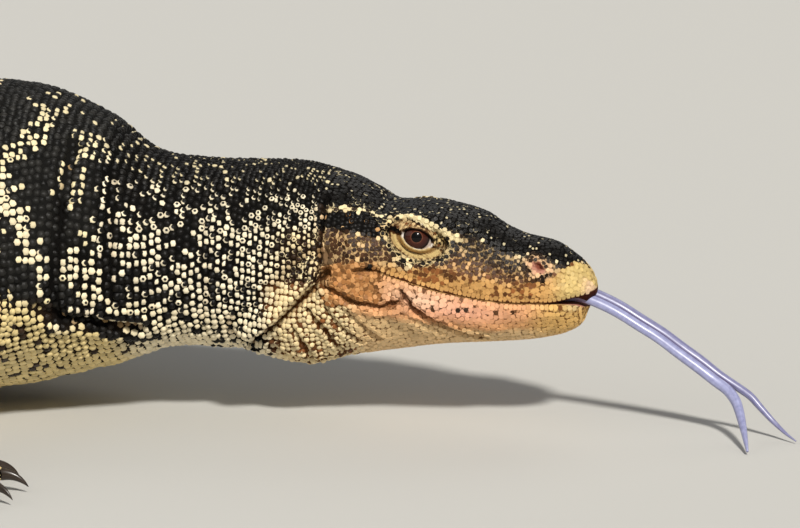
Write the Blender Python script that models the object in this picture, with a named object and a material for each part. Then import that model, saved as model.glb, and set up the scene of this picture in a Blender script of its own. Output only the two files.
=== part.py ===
"""A life-size still model of a water monitor lizard, low on its belly, head out and tongue flicked to the ground.

+X points the way the animal faces, +Y to its left and +Z up. The origin is on the flat under its belly, where it
rests on the floor. "Along" is the distance back from the snout tip, measured down the middle of the animal.
"""

import math

import bmesh
import bpy
import numpy as np
from mathutils import Vector

# Places along the body, in metres back from the snout tip.
MOUTH_CORNER = 0.0965
HEAD_END = 0.128
NECK_END = 0.206
CHEST_END = 0.400
BELLY_END = 0.620
PELVIS_END = 0.800
TAIL_CUTS = (0.800, 1.000, 1.220, 1.460, 1.700, 1.915)
ORIGIN_ALONG = 0.500
GAP = 0.0003

# Which way the body faces along its length, in degrees to the left of +X.
HEADING = (
    (0.00, -13.0), (0.13, -13.0), (0.22, -8.0), (0.34, 0.0), (0.55, 2.0), (0.75, -9.0),
    (1.00, -24.0), (1.25, -10.0), (1.55, 26.0), (1.92, 58.0),
)  # fmt: skip

# Outline of the body as (along, metres). Heights are above the floor.
HALF_WIDTH = (
    (0.0, 0.0012), (0.0012, 0.0056), (0.0035, 0.0088), (0.009, 0.0128), (0.021, 0.0170), (0.046, 0.0222),
    (0.077, 0.0285), (0.104, 0.0345), (0.128, 0.0370), (0.160, 0.0415), (0.196, 0.0490), (0.222, 0.0590),
    (0.262, 0.0700), (0.300, 0.0780), (0.340, 0.0830), (0.480, 0.0940), (0.600, 0.0910), (0.700, 0.0740),
    (0.800, 0.0490), (0.900, 0.0370), (1.200, 0.0225), (1.600, 0.0110), (1.880, 0.0035), (1.915, 0.0008),
)  # fmt: skip
BACK_LINE = (
    (0.0, 0.0655), (0.0012, 0.0688), (0.0035, 0.0733), (0.0105, 0.0797), (0.020, 0.0851), (0.034, 0.0878),
    (0.043, 0.0913), (0.053, 0.0970), (0.066, 0.0997), (0.094, 0.1001), (0.104, 0.1054), (0.118, 0.1116),
    (0.142, 0.1156), (0.168, 0.1154), (0.196, 0.1165), (0.207, 0.1190), (0.228, 0.1345), (0.262, 0.1480),
    (0.290, 0.1505), (0.360, 0.1480), (0.480, 0.1390), (0.600, 0.1310), (0.700, 0.1160), (0.800, 0.0930),
    (0.950, 0.0720), (1.250, 0.0510), (1.600, 0.0300), (1.860, 0.0100), (1.915, 0.0028),
)  # fmt: skip
# The mouth line on the head, and behind it the level at which the body is widest.
SIDE_LINE = (
    (0.0, 0.0640), (0.0012, 0.0632), (0.007, 0.0621), (0.020, 0.0596), (0.032, 0.0601), (0.046, 0.0620),
    (0.067, 0.0674), (0.077, 0.0715), (0.0855, 0.0741), (0.097, 0.0744), (0.128, 0.0705), (0.196, 0.0690),
    (0.262, 0.0730), (0.400, 0.0580), (0.640, 0.0520), (0.800, 0.0440), (1.000, 0.0330), (1.600, 0.0130),
    (1.860, 0.0045), (1.915, 0.0018),
)  # fmt: skip
UNDER_LINE = (
    (0.0, 0.0628), (0.0012, 0.0616), (0.0035, 0.0545), (0.0070, 0.0472), (0.0175, 0.0420), (0.034, 0.0389),
    (0.070, 0.0356), (0.100, 0.0305), (0.118, 0.0280), (0.140, 0.0251), (0.152, 0.0281), (0.182, 0.0299),
    (0.196, 0.0292), (0.208, 0.0255), (0.225, 0.0200), (0.262, 0.0110), (0.340, 0.0010), (0.400, -0.0020),
    (0.640, -0.0020), (0.720, 0.0020), (0.800, 0.0050), (0.900, -0.0006), (1.600, -0.0004), (1.880, 0.0002),
    (1.915, 0.0006),
)  # fmt: skip
# How square the section is above and below its side line: 2 is an ellipse.
UPPER_POWER = (
    (0.0, 2.0), (0.020, 2.3), (0.046, 2.5), (0.080, 2.75), (0.110, 2.5), (0.150, 2.1), (0.300, 2.15),
    (0.600, 2.2), (0.800, 2.1), (1.915, 2.0),
)  # fmt: skip
LOWER_POWER = (
    (0.0, 2.0), (0.030, 2.2), (0.100, 2.3), (0.150, 2.1), (0.250, 2.2), (0.450, 2.7), (0.700, 2.5),
    (0.850, 2.2), (1.915, 2.2),
)  # fmt: skip

# Swellings and hollows of the surface, alike on both sides: along, degrees from the back's midline,
# length along the body, spread in degrees, and height. The hollows are negative.
SWELLINGS = {
    "brow over the eye": (0.0770, 33.0, 0.0120, 9.0, 0.0026),
    "front of the brow": (0.0560, 36.0, 0.0090, 9.0, 0.0016),
    "hollow of the eye": (0.0775, 60.0, 0.0080, 13.0, -0.0022),
    "hollow before the eye": (0.0530, 62.0, 0.0100, 14.0, -0.0016),
    "round the nostril": (0.0240, 50.0, 0.0060, 16.0, 0.0014),
    "upper lip in front": (0.0140, 80.0, 0.0120, 8.0, 0.0008),
    "upper lip behind": (0.0600, 82.0, 0.0260, 6.0, 0.0010),
    "lower lip": (0.0450, 104.0, 0.0300, 11.0, 0.0012),
    "back of the lower jaw": (0.0860, 112.0, 0.0160, 14.0, 0.0026),
    "cheek": (0.1080, 88.0, 0.0120, 24.0, 0.0024),
    "temple": (0.1020, 52.0, 0.0130, 14.0, 0.0014),
    "throat pouch": (0.1360, 150.0, 0.0170, 26.0, 0.0022),
    "nape": (0.1450, 22.0, 0.0280, 20.0, 0.0012),
    "shoulder": (0.2660, 82.0, 0.0260, 26.0, 0.0070),
    "flank behind the shoulder": (0.3300, 96.0, 0.0220, 22.0, -0.0030),
    "hip": (0.7120, 80.0, 0.0380, 26.0, 0.0060),
}
LIP_ROLL = 0.0007
LIP_ROLL_SPREAD = 3.5
TAIL_KEEL_HEIGHT = 0.0034
TAIL_KEEL_SPREAD = 9.0
KEEL_START = 0.860
KEEL_FULL = 0.960

# How far the lips stand apart round the tongue, at the front of the mouth.
MOUTH_OPENING = ((0.0, 0.0068), (0.004, 0.0052), (0.0095, 0.0028), (0.016, 0.0008), (0.022, 0.0))
JAW_TIP = 0.0034

# Eyes, nostrils and ears: along, distance from the midline and height of each centre.
EYE_CENTRE = (0.0794, 0.0188, 0.0879)
EYE_RADIUS = 0.0082
EYE_GAZE_UP, EYE_GAZE_FORWARD = 0.10, 0.16
LID_LENGTH, LID_HEIGHT, LID_THICKNESS = 0.0073, 0.0061, 0.0017
NOSTRIL_CENTRE = (0.0243, 0.0152, 0.0758)
NOSTRIL_SIZE = (0.0036, 0.0022, 0.0017)
NOSTRIL_SLOPE = -38.0
EAR_CENTRE = (0.1170, 0.0375, 0.0812)
EAR_SIZE = (0.0026, 0.0034, 0.0055)
EAR_SLOPE = 12.0

# The tongue as (ahead, left, height): ahead of and left of the snout tip, and above the floor.
TONGUE_STEM = ((-0.0190, 0.0044, 0.0606), (-0.0026, 0.0006, 0.0581), (0.0158, -0.0036, 0.0475),
               (0.0321, -0.0074, 0.0387), (0.0466, -0.0115, 0.0285), (0.0585, -0.0168, 0.0218))  # fmt: skip
TINE_NEAR = ((0.0545, -0.0158, 0.0238), (0.0589, -0.0240, 0.0177), (0.0617, -0.0380, 0.0102),
             (0.0632, -0.0560, 0.0014))  # fmt: skip
TINE_FAR = ((0.0545, -0.0142, 0.0244), (0.0668, -0.0205, 0.0205), (0.0763, -0.0260, 0.0127),
            (0.0876, -0.0330, 0.0014))  # fmt: skip
TONGUE_HALF_WIDTH = (0.0044, 0.0040)
TONGUE_HALF_THICK = (0.0027, 0.0021)
TINE_RADIUS = (0.0021, 0.0006)

# Limbs: where each grows from the body, then (forward, outward, height) of its joints from there.
LIMBS = {
    "right_front": {
        "along": 0.262, "side": -1,
        "joints": ((0.000, 0.038, 0.072), (-0.078, 0.116, 0.056), (-0.048, 0.158, 0.021), (-0.020, 0.170, 0.0085)),
        "front": True,
    },
    "left_front": {
        "along": 0.262, "side": 1,
        "joints": ((0.000, 0.038, 0.072), (-0.064, 0.120, 0.056), (-0.026, 0.160, 0.021), (0.004, 0.167, 0.0085)),
        "front": True,
    },
    "right_hind": {
        "along": 0.715, "side": -1,
        "joints": ((0.000, 0.030, 0.062), (0.074, 0.138, 0.056), (0.012, 0.186, 0.025), (0.047, 0.222, 0.0090)),
        "front": False,
    },
    "left_hind": {
        "along": 0.715, "side": 1,
        "joints": ((0.000, 0.030, 0.062), (0.060, 0.142, 0.056), (-0.006, 0.182, 0.025), (0.026, 0.221, 0.0090)),
        "front": False,
    },
}  # fmt: skip
BEND_ROUNDING = {True: (0.030, 0.016), False: (0.042, 0.026)}
# Half width and half height of a limb at its root, before and after its first joint, at the ankle and at the knuckles.
LIMB_HALF_WIDTH = {True: (0.0290, 0.0215, 0.0195, 0.0130, 0.0185), False: (0.0400, 0.0275, 0.0225, 0.0140, 0.0195)}
LIMB_HALF_HEIGHT = {True: (0.0300, 0.0210, 0.0185, 0.0115, 0.0072), False: (0.0390, 0.0260, 0.0215, 0.0125, 0.0078)}
# Toes from the inner to the outer one: degrees outwards from the foot's own line, and length.
TOES = {
    True: ((-46, 0.020), (-20, 0.029), (2, 0.034), (24, 0.033), (52, 0.023)),
    False: ((-34, 0.023), (-14, 0.034), (4, 0.046), (20, 0.058), (58, 0.033)),
}
TOE_RADIUS = (0.0052, 0.0040)
TOE_HEIGHT, TOE_RISE = 0.0062, 0.0018
CLAW_LENGTH = {True: 0.0135, False: 0.0125}
CLAW_BASE_RADIUS = 0.0027
CLAW_STRAIGHT = 0.0012
CLAW_CURL_DEGREES = 52.0

# Facets.
HEAD_COLUMNS, PALATE_COLUMNS, JAW_COLUMNS = 28, 4, 20
TRUNK_COLUMNS = 28
TAIL_COLUMNS = 18
LIMB_SIDES, TOE_SIDES, CLAW_SIDES = 12, 6, 6

SKIN = ("skin", (0.16, 0.14, 0.10, 1.0), 0.55)
JAW_SKIN = ("jaw skin", (0.60, 0.36, 0.18, 1.0), 0.50)
TONGUE_SKIN = ("tongue", (0.42, 0.41, 0.58, 1.0), 0.28)
EYE_GLAZE = ("eye", (0.05, 0.02, 0.015, 1.0), 0.08)
HORN = ("claw horn", (0.05, 0.04, 0.035, 1.0), 0.35)


def curve_through(pairs):
    """A smooth function through (place, value) pairs that doesn't overshoot them."""
    place, value = np.array(pairs, float).T
    step = np.diff(place)
    slope = np.diff(value) / step
    total = slope[:-1] + slope[1:]
    same_way = slope[:-1] * slope[1:] > 0
    inner = np.where(same_way, 2 * slope[:-1] * slope[1:] / np.where(same_way, total, 1), 0)
    tangent = np.concatenate([slope[:1], inner, slope[-1:]])

    def at(x):
        x = np.clip(np.asarray(x, float), place[0], place[-1])
        i = np.clip(np.searchsorted(place, x, side="right") - 1, 0, len(step) - 1)
        t = (x - place[i]) / step[i]
        rise = (3 - 2 * t) * t**2
        return (
            value[i] * (1 - rise)
            + value[i + 1] * rise
            + step[i] * (tangent[i] * t * (1 - t) ** 2 - tangent[i + 1] * t**2 * (1 - t))
        )

    return at


heading_at = curve_through(HEADING)
half_width_at = curve_through(HALF_WIDTH)
back_at = curve_through(BACK_LINE)
side_line_at = curve_through(SIDE_LINE)
under_at = curve_through(UNDER_LINE)
upper_power_at = curve_through(UPPER_POWER)
lower_power_at = curve_through(LOWER_POWER)
mouth_opening_at = curve_through(MOUTH_OPENING)

SPINE_STEPS = 2400
spine_along = np.linspace(0.0, TAIL_CUTS[-1], SPINE_STEPS)
spine_heading = np.radians(heading_at(spine_along))
spine_step = spine_along[1] - spine_along[0]
spine_x = -np.cumsum(np.cos(spine_heading)) * spine_step
spine_y = -np.cumsum(np.sin(spine_heading)) * spine_step
spine_x -= np.interp(ORIGIN_ALONG, spine_along, spine_x)
spine_y -= np.interp(ORIGIN_ALONG, spine_along, spine_y)


def body_place(along, left, height):
    """World points from a distance along the body, a distance to the left of its middle, and a height."""
    turn = np.radians(heading_at(along))
    x = np.interp(along, spine_along, spine_x) - np.sin(turn) * left
    y = np.interp(along, spine_along, spine_y) + np.cos(turn) * left
    return np.stack(np.broadcast_arrays(x, y, height), axis=-1)


def relief(along, angle):
    """Height of the swellings, lips and tail keel at a place of the surface. Angle is in radians."""
    degrees = np.abs(np.degrees(np.arctan2(np.sin(angle), np.cos(angle))))
    height = np.zeros(np.broadcast(along, angle).shape)
    for place, centre, length, spread, size in SWELLINGS.values():
        height += size * np.exp(-(((along - place) / length) ** 2) - ((degrees - centre) / spread) ** 2)
    on_head = np.clip((HEAD_END - along) / (HEAD_END - MOUTH_CORNER), 0, 1)
    height -= LIP_ROLL * on_head * np.exp(-(((degrees - 90) / LIP_ROLL_SPREAD) ** 2))
    keel = np.clip((along - KEEL_START) / (KEEL_FULL - KEEL_START), 0, 1)
    keel = keel * np.clip((TAIL_CUTS[-1] - along) / 0.2, 0, 1)
    return height + TAIL_KEEL_HEIGHT * keel * np.exp(-((degrees / TAIL_KEEL_SPREAD) ** 2))


def body_surface(along, angle, grow=0.0):
    """Points of the body's surface, at an angle in radians round from the back's midline to the left."""
    along, angle = np.broadcast_arrays(np.asarray(along, float), np.asarray(angle, float))
    up, out = np.cos(angle), np.sin(angle)
    above = up >= 0
    side = side_line_at(along)
    reach = np.where(above, back_at(along) - side, side - under_at(along))
    power = 2 / np.where(above, upper_power_at(along), lower_power_at(along))
    raised = np.minimum(1.0, half_width_at(along) / 0.010) * relief(along, angle) + grow
    left = half_width_at(along) * np.sign(out) * np.abs(out) ** power + raised * out
    height = side + reach * np.sign(up) * np.abs(up) ** power + raised * up
    return body_place(along, left, np.maximum(height, 0.0 - grow))


def new_object(name, points, faces, material=None):
    mesh = bpy.data.meshes.new(name)
    mesh.from_pydata([tuple(p) for p in points], [], [tuple(f) for f in faces])
    mesh.validate()
    made = bpy.data.objects.new(name, mesh)
    bpy.context.scene.collection.objects.link(made)
    if material:
        mesh.materials.append(material_of(*material))
    facing = bmesh.new()
    facing.from_mesh(mesh)
    bmesh.ops.triangulate(facing, faces=facing.faces[:])
    bmesh.ops.recalc_face_normals(facing, faces=facing.faces[:])
    facing.to_mesh(mesh)
    facing.free()
    mesh.shade_smooth()
    mesh.set_sharp_from_angle(angle=math.radians(50))
    return made


def material_of(name, colour, roughness):
    found = bpy.data.materials.get(name)
    if found:
        return found
    made = bpy.data.materials.new(name)
    made.use_nodes = True
    shader = made.node_tree.nodes["Principled BSDF"]
    shader.inputs["Base Color"].default_value = colour
    shader.inputs["Roughness"].default_value = roughness
    shader.inputs["Metallic"].default_value = 0.0
    made.diffuse_color = colour
    return made


def closed_tube(name, rings, material=None):
    """One closed body through rings of points. An end ring whose points coincide becomes a tip, others get a cap."""
    rings = np.asarray(rings, float)
    points, index = [], []
    for n, ring in enumerate(rings):
        tip = n in (0, len(rings) - 1) and np.ptp(ring, axis=0).max() < 1e-5
        index.append([len(points)] * len(ring) if tip else list(range(len(points), len(points) + len(ring))))
        points.extend(ring[:1] if tip else ring)
    faces = []
    sides = rings.shape[1]
    for a, b in zip(index[:-1], index[1:]):
        for i in range(sides):
            j = (i + 1) % sides
            corners = list(dict.fromkeys((a[i], a[j], b[j], b[i])))
            faces.append(corners)
    for ring in (index[0], index[-1]):
        if len(set(ring)) > 1:
            centre = len(points)
            points.append(np.mean([points[i] for i in ring], axis=0))
            faces.extend((ring[i], ring[(i + 1) % sides], centre) for i in range(sides))
    return new_object(name, points, faces, material)


def stations(start, end, count, ease=0.0):
    """Places from start to end. An ease of 1 sets them closer together near the start."""
    t = np.linspace(0, 1, count)
    return start + (end - start) * (t * (1 - ease) + ease * t**2)


def body_length(name, start, end, count, columns, material=SKIN):
    """A length of the body as one closed piece, with half of the gap taken off at each end."""
    places = np.linspace(start + GAP / 2, end - GAP / 2, count)
    angles = np.linspace(0, 2 * math.pi, columns, endpoint=False)
    rings = body_surface(places[:, None], angles[None, :])
    if end >= TAIL_CUTS[-1]:
        rings[-1] = rings[-1].mean(axis=0)
    return closed_tube(name, rings, material)


def upper_head(name):
    """The head above the mouth line: its outer surface, closed below by the roof of the mouth."""
    places = np.unique(np.concatenate([stations(0.0, 0.036, 12, 0.75), stations(0.036, HEAD_END - GAP / 2, 20)]))
    angles = np.linspace(-math.pi / 2, math.pi / 2, HEAD_COLUMNS + 1)
    outer = body_surface(places[:, None], angles[None, :])
    floor = side_line_at(places)[:, None] + GAP / 2
    outer[..., 2] = np.maximum(outer[..., 2], floor)
    share = np.linspace(0, 1, PALATE_COLUMNS + 1)[1:-1][None, :, None]
    roof = outer[:, -1:, :] * (1 - share) + outer[:, :1, :] * share
    rings = np.concatenate([outer, roof], axis=1)
    rings[0] = rings[0].mean(axis=0)
    return closed_tube(name, rings, SKIN)


def lower_jaw(name):
    """The lower jaw and chin: the outer surface below the mouth line, closed above by a flat."""
    places = np.concatenate([stations(JAW_TIP, 0.030, 9, 0.6), stations(0.030, HEAD_END - GAP / 2, 18)[1:]])
    drop = GAP / 2 + mouth_opening_at(places)
    reach = side_line_at(places) - under_at(places)
    share = np.clip(drop / reach, 0, 0.85)
    first = np.arccos(-(share ** (lower_power_at(places) / 2)))
    t = np.linspace(0, 1, JAW_COLUMNS + 1)
    angles = first[:, None] + (2 * math.pi - 2 * first[:, None]) * t[None, :]
    outer = body_surface(places[:, None], angles)
    share = np.linspace(0, 1, PALATE_COLUMNS + 1)[1:-1][None, :, None]
    flat = outer[:, -1:, :] * (1 - share) + outer[:, :1, :] * share
    rings = np.concatenate([outer, flat], axis=1)
    tip_height = side_line_at(JAW_TIP) - mouth_opening_at(JAW_TIP) - 0.0022
    tip = body_place(JAW_TIP - 0.0012, 0.0, tip_height)
    rings = np.concatenate([np.broadcast_to(tip, rings[:1].shape), rings])
    return closed_tube(name, rings, JAW_SKIN)


def smooth_path(corners, count):
    """Points evenly along a smooth curve through a few corners."""
    corners = np.array(corners, float)
    lengths = np.concatenate([[0], np.cumsum(np.linalg.norm(np.diff(corners, axis=0), axis=1))])
    along = np.linspace(0, lengths[-1], count)
    return np.stack([curve_through(np.stack([lengths, corners[:, k]], 1))(along) for k in range(3)], axis=1)


def rounded_path(corners, rounding, spacing):
    """Points along straight stretches between corners, with each inner corner rounded by a parabola."""
    corners = [np.array(c, float) for c in corners]
    path = [corners[0]]
    for before, corner, after, room in zip(corners[:-2], corners[1:-1], corners[2:], rounding):
        start = corner + (before - corner) * min(0.48, room / np.linalg.norm(before - corner))
        end = corner + (after - corner) * min(0.48, room / np.linalg.norm(after - corner))
        for t in np.linspace(0, 1, 7):
            path.append(start * (1 - t) ** 2 + 2 * corner * t * (1 - t) + end * t**2)
    path.append(corners[-1])
    path = np.array(path)
    lengths = np.concatenate([[0], np.cumsum(np.linalg.norm(np.diff(path, axis=0), axis=1))])
    along = np.linspace(0, lengths[-1], max(4, round(lengths[-1] / spacing) + 1))
    return np.stack([np.interp(along, lengths, path[:, k]) for k in range(3)], axis=1), along


def path_frames(path):
    """The direction of a path at each point, with its sideways (level) and upward axes."""
    ahead = np.gradient(path, axis=0)
    ahead /= np.linalg.norm(ahead, axis=1, keepdims=True)
    side = np.cross((0.0, 0.0, 1.0), ahead)
    side /= np.linalg.norm(side, axis=1, keepdims=True)
    return ahead, side, np.cross(ahead, side)


def sweep(path, half_width, half_height, sides, lowest=None):
    """Elliptical rings along a path. Nothing reaches below the lowest height, where one is given."""
    _, side, up = path_frames(path)
    turn = (np.arange(sides) + 0.5) * 2 * math.pi / sides
    rings = (
        path[:, None, :]
        + side[:, None, :] * (half_width[:, None] * np.sin(turn))[..., None]
        + up[:, None, :] * (half_height[:, None] * np.cos(turn))[..., None]
    )
    if lowest is not None:
        rings[..., 2] = np.maximum(rings[..., 2], lowest)
    return rings


def applied(target):
    """The object with its modifiers made real, keeping only its largest closed surface."""
    graph = bpy.context.evaluated_depsgraph_get()
    mesh = bpy.data.meshes.new_from_object(target.evaluated_get(graph))
    target.modifiers.clear()
    target.data = mesh
    whole = bmesh.new()
    whole.from_mesh(mesh)
    left, islands = set(whole.faces), []
    while left:
        island, edge = set(), [left.pop()]
        while edge:
            face = edge.pop()
            island.add(face)
            near = {other for e in face.edges for other in e.link_faces} & left
            left -= near
            edge.extend(near)
        islands.append(island)
    islands.sort(key=lambda island: -sum(f.calc_area() for f in island))
    loose = [f for island in islands[1:] for f in island]
    bmesh.ops.delete(whole, geom=loose, context="FACES")
    bmesh.ops.triangulate(whole, faces=whole.faces[:])
    whole.to_mesh(mesh)
    whole.free()
    mesh.shade_smooth()
    mesh.set_sharp_from_angle(angle=math.radians(50))
    return target


def combine(target, others, operation):
    """Joins others to the target, or cuts them from it, by one exact Boolean, then removes them."""
    group = bpy.data.collections.new("tools of " + target.name)
    bpy.context.scene.collection.children.link(group)
    for other in others:
        for home in other.users_collection:
            home.objects.unlink(other)
        group.objects.link(other)
    modifier = target.modifiers.new(operation.lower(), "BOOLEAN")
    modifier.operation = operation
    modifier.operand_type = "COLLECTION"
    modifier.collection = group
    modifier.solver = "EXACT"
    applied(target)
    for other in others:
        bpy.data.objects.remove(other)
    bpy.data.collections.remove(group)
    return target


def head_axes(side):
    """Forward, outward and up at the head, for the left (1) or the right (-1) side."""
    turn = math.radians(float(heading_at(0.07)))
    forward = Vector((math.cos(turn), math.sin(turn), 0))
    outward = Vector((-math.sin(turn), math.cos(turn), 0)) * side
    return forward, outward, Vector((0, 0, 1))


def ball(name, centre, radii, axes, segments=16, rings=10, material=None):
    """A sphere stretched along three axes."""
    polar = np.linspace(0, math.pi, rings + 1)
    round_ = np.linspace(0, 2 * math.pi, segments, endpoint=False)
    a, b, c = (np.array(axis) * radius for axis, radius in zip(axes, radii))
    points = (
        np.array(centre)
        + (np.sin(polar)[:, None] * np.cos(round_))[..., None] * a
        + (np.sin(polar)[:, None] * np.sin(round_))[..., None] * b
        + (np.cos(polar)[:, None] * np.ones(segments))[..., None] * c
    )
    return closed_tube(name, points, material)


def eye_axes(side):
    """The way the eye looks, the way to its front corner, and up across it."""
    forward, outward, up = head_axes(side)
    gaze = (outward + forward * EYE_GAZE_FORWARD + up * EYE_GAZE_UP).normalized()
    front = (forward - gaze * forward.dot(gaze)).normalized()
    above = front.cross(gaze) if side < 0 else gaze.cross(front)
    return gaze, front, above if above.z > 0 else -above


def eye_ball(name, side, grow=0.0, material=EYE_GLAZE):
    along, left, height = EYE_CENTRE
    centre = body_place(along, left * side, height)
    gaze, front, above = eye_axes(side)
    radius = EYE_RADIUS + grow
    return ball(name, centre, (radius, radius, radius), (front, above, gaze), 18, 10, material)


def eye_lids(side):
    """Both lids of an eye as one rounded rim that lies on the eyeball round its almond opening."""
    along, left, height = EYE_CENTRE
    centre = np.array(body_place(along, left * side, height))
    gaze, front, above = (np.array(axis) for axis in eye_axes(side))
    rim = []
    for turn in np.linspace(0, 2 * math.pi, 20, endpoint=False):
        across = front * LID_LENGTH * math.cos(turn) + above * LID_HEIGHT * math.sin(turn)
        depth = math.sqrt(max(0.0, (EYE_RADIUS + 0.0002) ** 2 - float(across @ across)))
        rim.append(centre + across + gaze * depth)
    rim = np.array(rim)
    middle = rim.mean(axis=0)
    rings = []
    for point in rim:
        outward = (point - middle) / np.linalg.norm(point - middle)
        turns = np.arange(6) * 2 * math.pi / 6
        rings.append([point + LID_THICKNESS * (outward * math.cos(t) + gaze * math.sin(t)) for t in turns])
    rings = np.array(rings)
    count, sides = rings.shape[:2]
    index = np.arange(count * sides).reshape(count, sides)
    faces = [
        (index[i, j], index[(i + 1) % count, j], index[(i + 1) % count, (j + 1) % sides], index[i, (j + 1) % sides])
        for i in range(count)
        for j in range(sides)
    ]
    return new_object("lids", rings.reshape(-1, 3), faces)


def sloped_ball(name, centre, size, slope, side):
    """A stretched ball on the side of the head: size is along the head, into it, and up it."""
    forward, outward, up = head_axes(side)
    lean = math.radians(slope)
    ahead = forward * math.cos(lean) + up * math.sin(lean)
    over = up * math.cos(lean) - forward * math.sin(lean)
    along, left, height = centre
    return ball(name, body_place(along, left * side, height), size, (ahead, outward, over), 12, 8)


def tongue(name, grow=0.0, material=TONGUE_SKIN):
    """The tongue as a stem and two tapering tines, joined at the fork."""
    tip = body_place(0.0, 0.0, 0.0)
    stem = smooth_path(tip + TONGUE_STEM, 15)
    t = np.linspace(0, 1, 15)
    width = TONGUE_HALF_WIDTH[0] + (TONGUE_HALF_WIDTH[1] - TONGUE_HALF_WIDTH[0]) * t + grow
    thick = TONGUE_HALF_THICK[0] + (TONGUE_HALF_THICK[1] - TONGUE_HALF_THICK[0]) * t + grow
    pieces = [closed_tube(name, sweep(stem, width, thick, 8), material)]
    for corners in (TINE_NEAR, TINE_FAR):
        path = smooth_path(tip + corners, 9)
        radius = np.linspace(TINE_RADIUS[0], TINE_RADIUS[1], 9) + grow
        pieces.append(closed_tube("tine", sweep(path, radius, radius, 7)))
    return combine(pieces[0], pieces[1:], "UNION")


def limb_point(limb, forward, outward, height):
    """A world point from a limb's own measures: forward, outward and height from where it grows."""
    base = body_place(limb["along"], 0.0, 0.0)
    turn = math.radians(float(heading_at(limb["along"])))
    ahead = np.array((math.cos(turn), math.sin(turn), 0.0))
    out = np.array((-math.sin(turn), math.cos(turn), 0.0)) * limb["side"]
    return base + ahead * forward + out * outward + np.array((0.0, 0.0, height))


def limb_rings(limb):
    """Rings down a limb from inside the body to its knuckles, and which ring is at each joint."""
    front = limb["front"]
    corners = [limb_point(limb, *joint) for joint in limb["joints"]]
    path, along = rounded_path(corners, BEND_ROUNDING[front], 0.0085)
    spans = np.concatenate([[0], np.cumsum([np.linalg.norm(b - a) for a, b in zip(corners[:-1], corners[1:])])])
    spans *= along[-1] / spans[-1]
    after_joint = spans[1] + 0.35 * (spans[2] - spans[1])
    places = (0.0, spans[1], after_joint, spans[2], spans[3])
    width = curve_through(list(zip(places, LIMB_HALF_WIDTH[front])))(along)
    height = curve_through(list(zip(places, LIMB_HALF_HEIGHT[front])))(along)
    rings = sweep(path, width, height, LIMB_SIDES, lowest=0.0)
    joints = [int(np.argmin(np.abs(along - span))) for span in spans[1:3]]
    return rings, joints, path


def parted(rings, first, last):
    """Rings first to last with half of the gap taken off at the cut ends."""
    piece = rings[first : last + 1].copy()
    for end, inner in ((0, 1), (-1, -2)):
        inward = piece[inner].mean(axis=0) - piece[end].mean(axis=0)
        piece[end] += inward / np.linalg.norm(inward) * GAP / 2
    return piece


def foot_rings(rings, joint):
    """The palm or sole from the last joint on, rounded off past the knuckles."""
    piece = parted(rings, joint, len(rings) - 1)
    ahead = piece[-1].mean(axis=0) - piece[-2].mean(axis=0)
    ahead /= np.linalg.norm(ahead)
    centre = piece[-1].mean(axis=0)
    ends = [
        centre + (piece[-1] - centre) * math.cos(turn) + ahead * 0.007 * math.sin(turn)
        for turn in np.radians((35, 65))
    ]
    ends = [np.maximum(end, (-np.inf, -np.inf, 0.0)) for end in ends]
    return np.concatenate([piece, ends])


def toe_and_claw(name, limb, number, knuckle, heading):
    """A toe that arches forward from the foot to a flat end, and the curved claw that grows from that end."""
    degrees, length = TOES[limb["front"]][number]
    turn = heading + math.radians(degrees) * limb["side"]
    ahead = np.array((math.cos(turn), math.sin(turn), 0.0))
    across = np.array((-math.sin(heading), math.cos(heading), 0.0)) * limb["side"]
    spread = 0.0062 * (number - 2)
    start = knuckle + across * spread - ahead * 0.006
    start[2] = TOE_HEIGHT
    steps = np.linspace(0, 1, 6)
    arch = TOE_HEIGHT + TOE_RISE * np.sin(math.pi / 2 * steps)
    path = start + ahead * (steps * (length + 0.006))[:, None]
    path[:, 2] = arch
    radius = TOE_RADIUS[0] + (TOE_RADIUS[1] - TOE_RADIUS[0]) * steps
    toe = closed_tube("toe", sweep(path, radius, radius * 0.95, TOE_SIDES, lowest=0.0))
    slope = math.atan2(path[-1, 2] - path[-2, 2], np.linalg.norm(path[-1, :2] - path[-2, :2]))
    bend = np.linspace(0, 1, 5)
    pitch = slope - np.radians(CLAW_CURL_DEGREES) * bend
    step = np.full(5, CLAW_LENGTH[limb["front"]] / 4)
    step[0] = CLAW_STRAIGHT
    run = np.concatenate([[0], np.cumsum(np.cos(pitch) * step)]) + GAP * math.cos(slope)
    rise = np.concatenate([[0], np.cumsum(np.sin(pitch) * step)]) + GAP * math.sin(slope)
    claw_path = path[-1] + ahead * run[:, None]
    claw_path[:, 2] += rise
    radius = CLAW_BASE_RADIUS * np.concatenate([[1], (1 - bend) ** 0.8]) + 0.0003
    claw = closed_tube(name, sweep(claw_path, radius * 0.8, radius, CLAW_SIDES, lowest=0.0004), HORN)
    return toe, claw


def build_limb(limb_name, limb, body_cutter):
    """A limb in three lengths, with its toes joined to the foot and a separate claw on each toe."""
    rings, (first, second), _ = limb_rings(limb)
    names = ("upper_arm", "forearm", "hand") if limb["front"] else ("thigh", "shank", "foot")
    upper = closed_tube(f"{limb_name}_{names[0]}", parted(rings, 0, first), SKIN)
    combine(upper, [body_cutter], "DIFFERENCE")
    closed_tube(f"{limb_name}_{names[1]}", parted(rings, first, second), SKIN)
    palm_rings = foot_rings(rings, second)
    palm = closed_tube(f"{limb_name}_{names[2]}", palm_rings, SKIN)
    knuckle = rings[-1].mean(axis=0)
    line = knuckle - rings[second].mean(axis=0)
    heading = math.atan2(line[1], line[0])
    toes = []
    for number in range(5):
        toe, _ = toe_and_claw(f"{limb_name}_claw_{number + 1}", limb, number, knuckle, heading)
        toes.append(toe)
    combine(palm, toes, "UNION")


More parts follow.
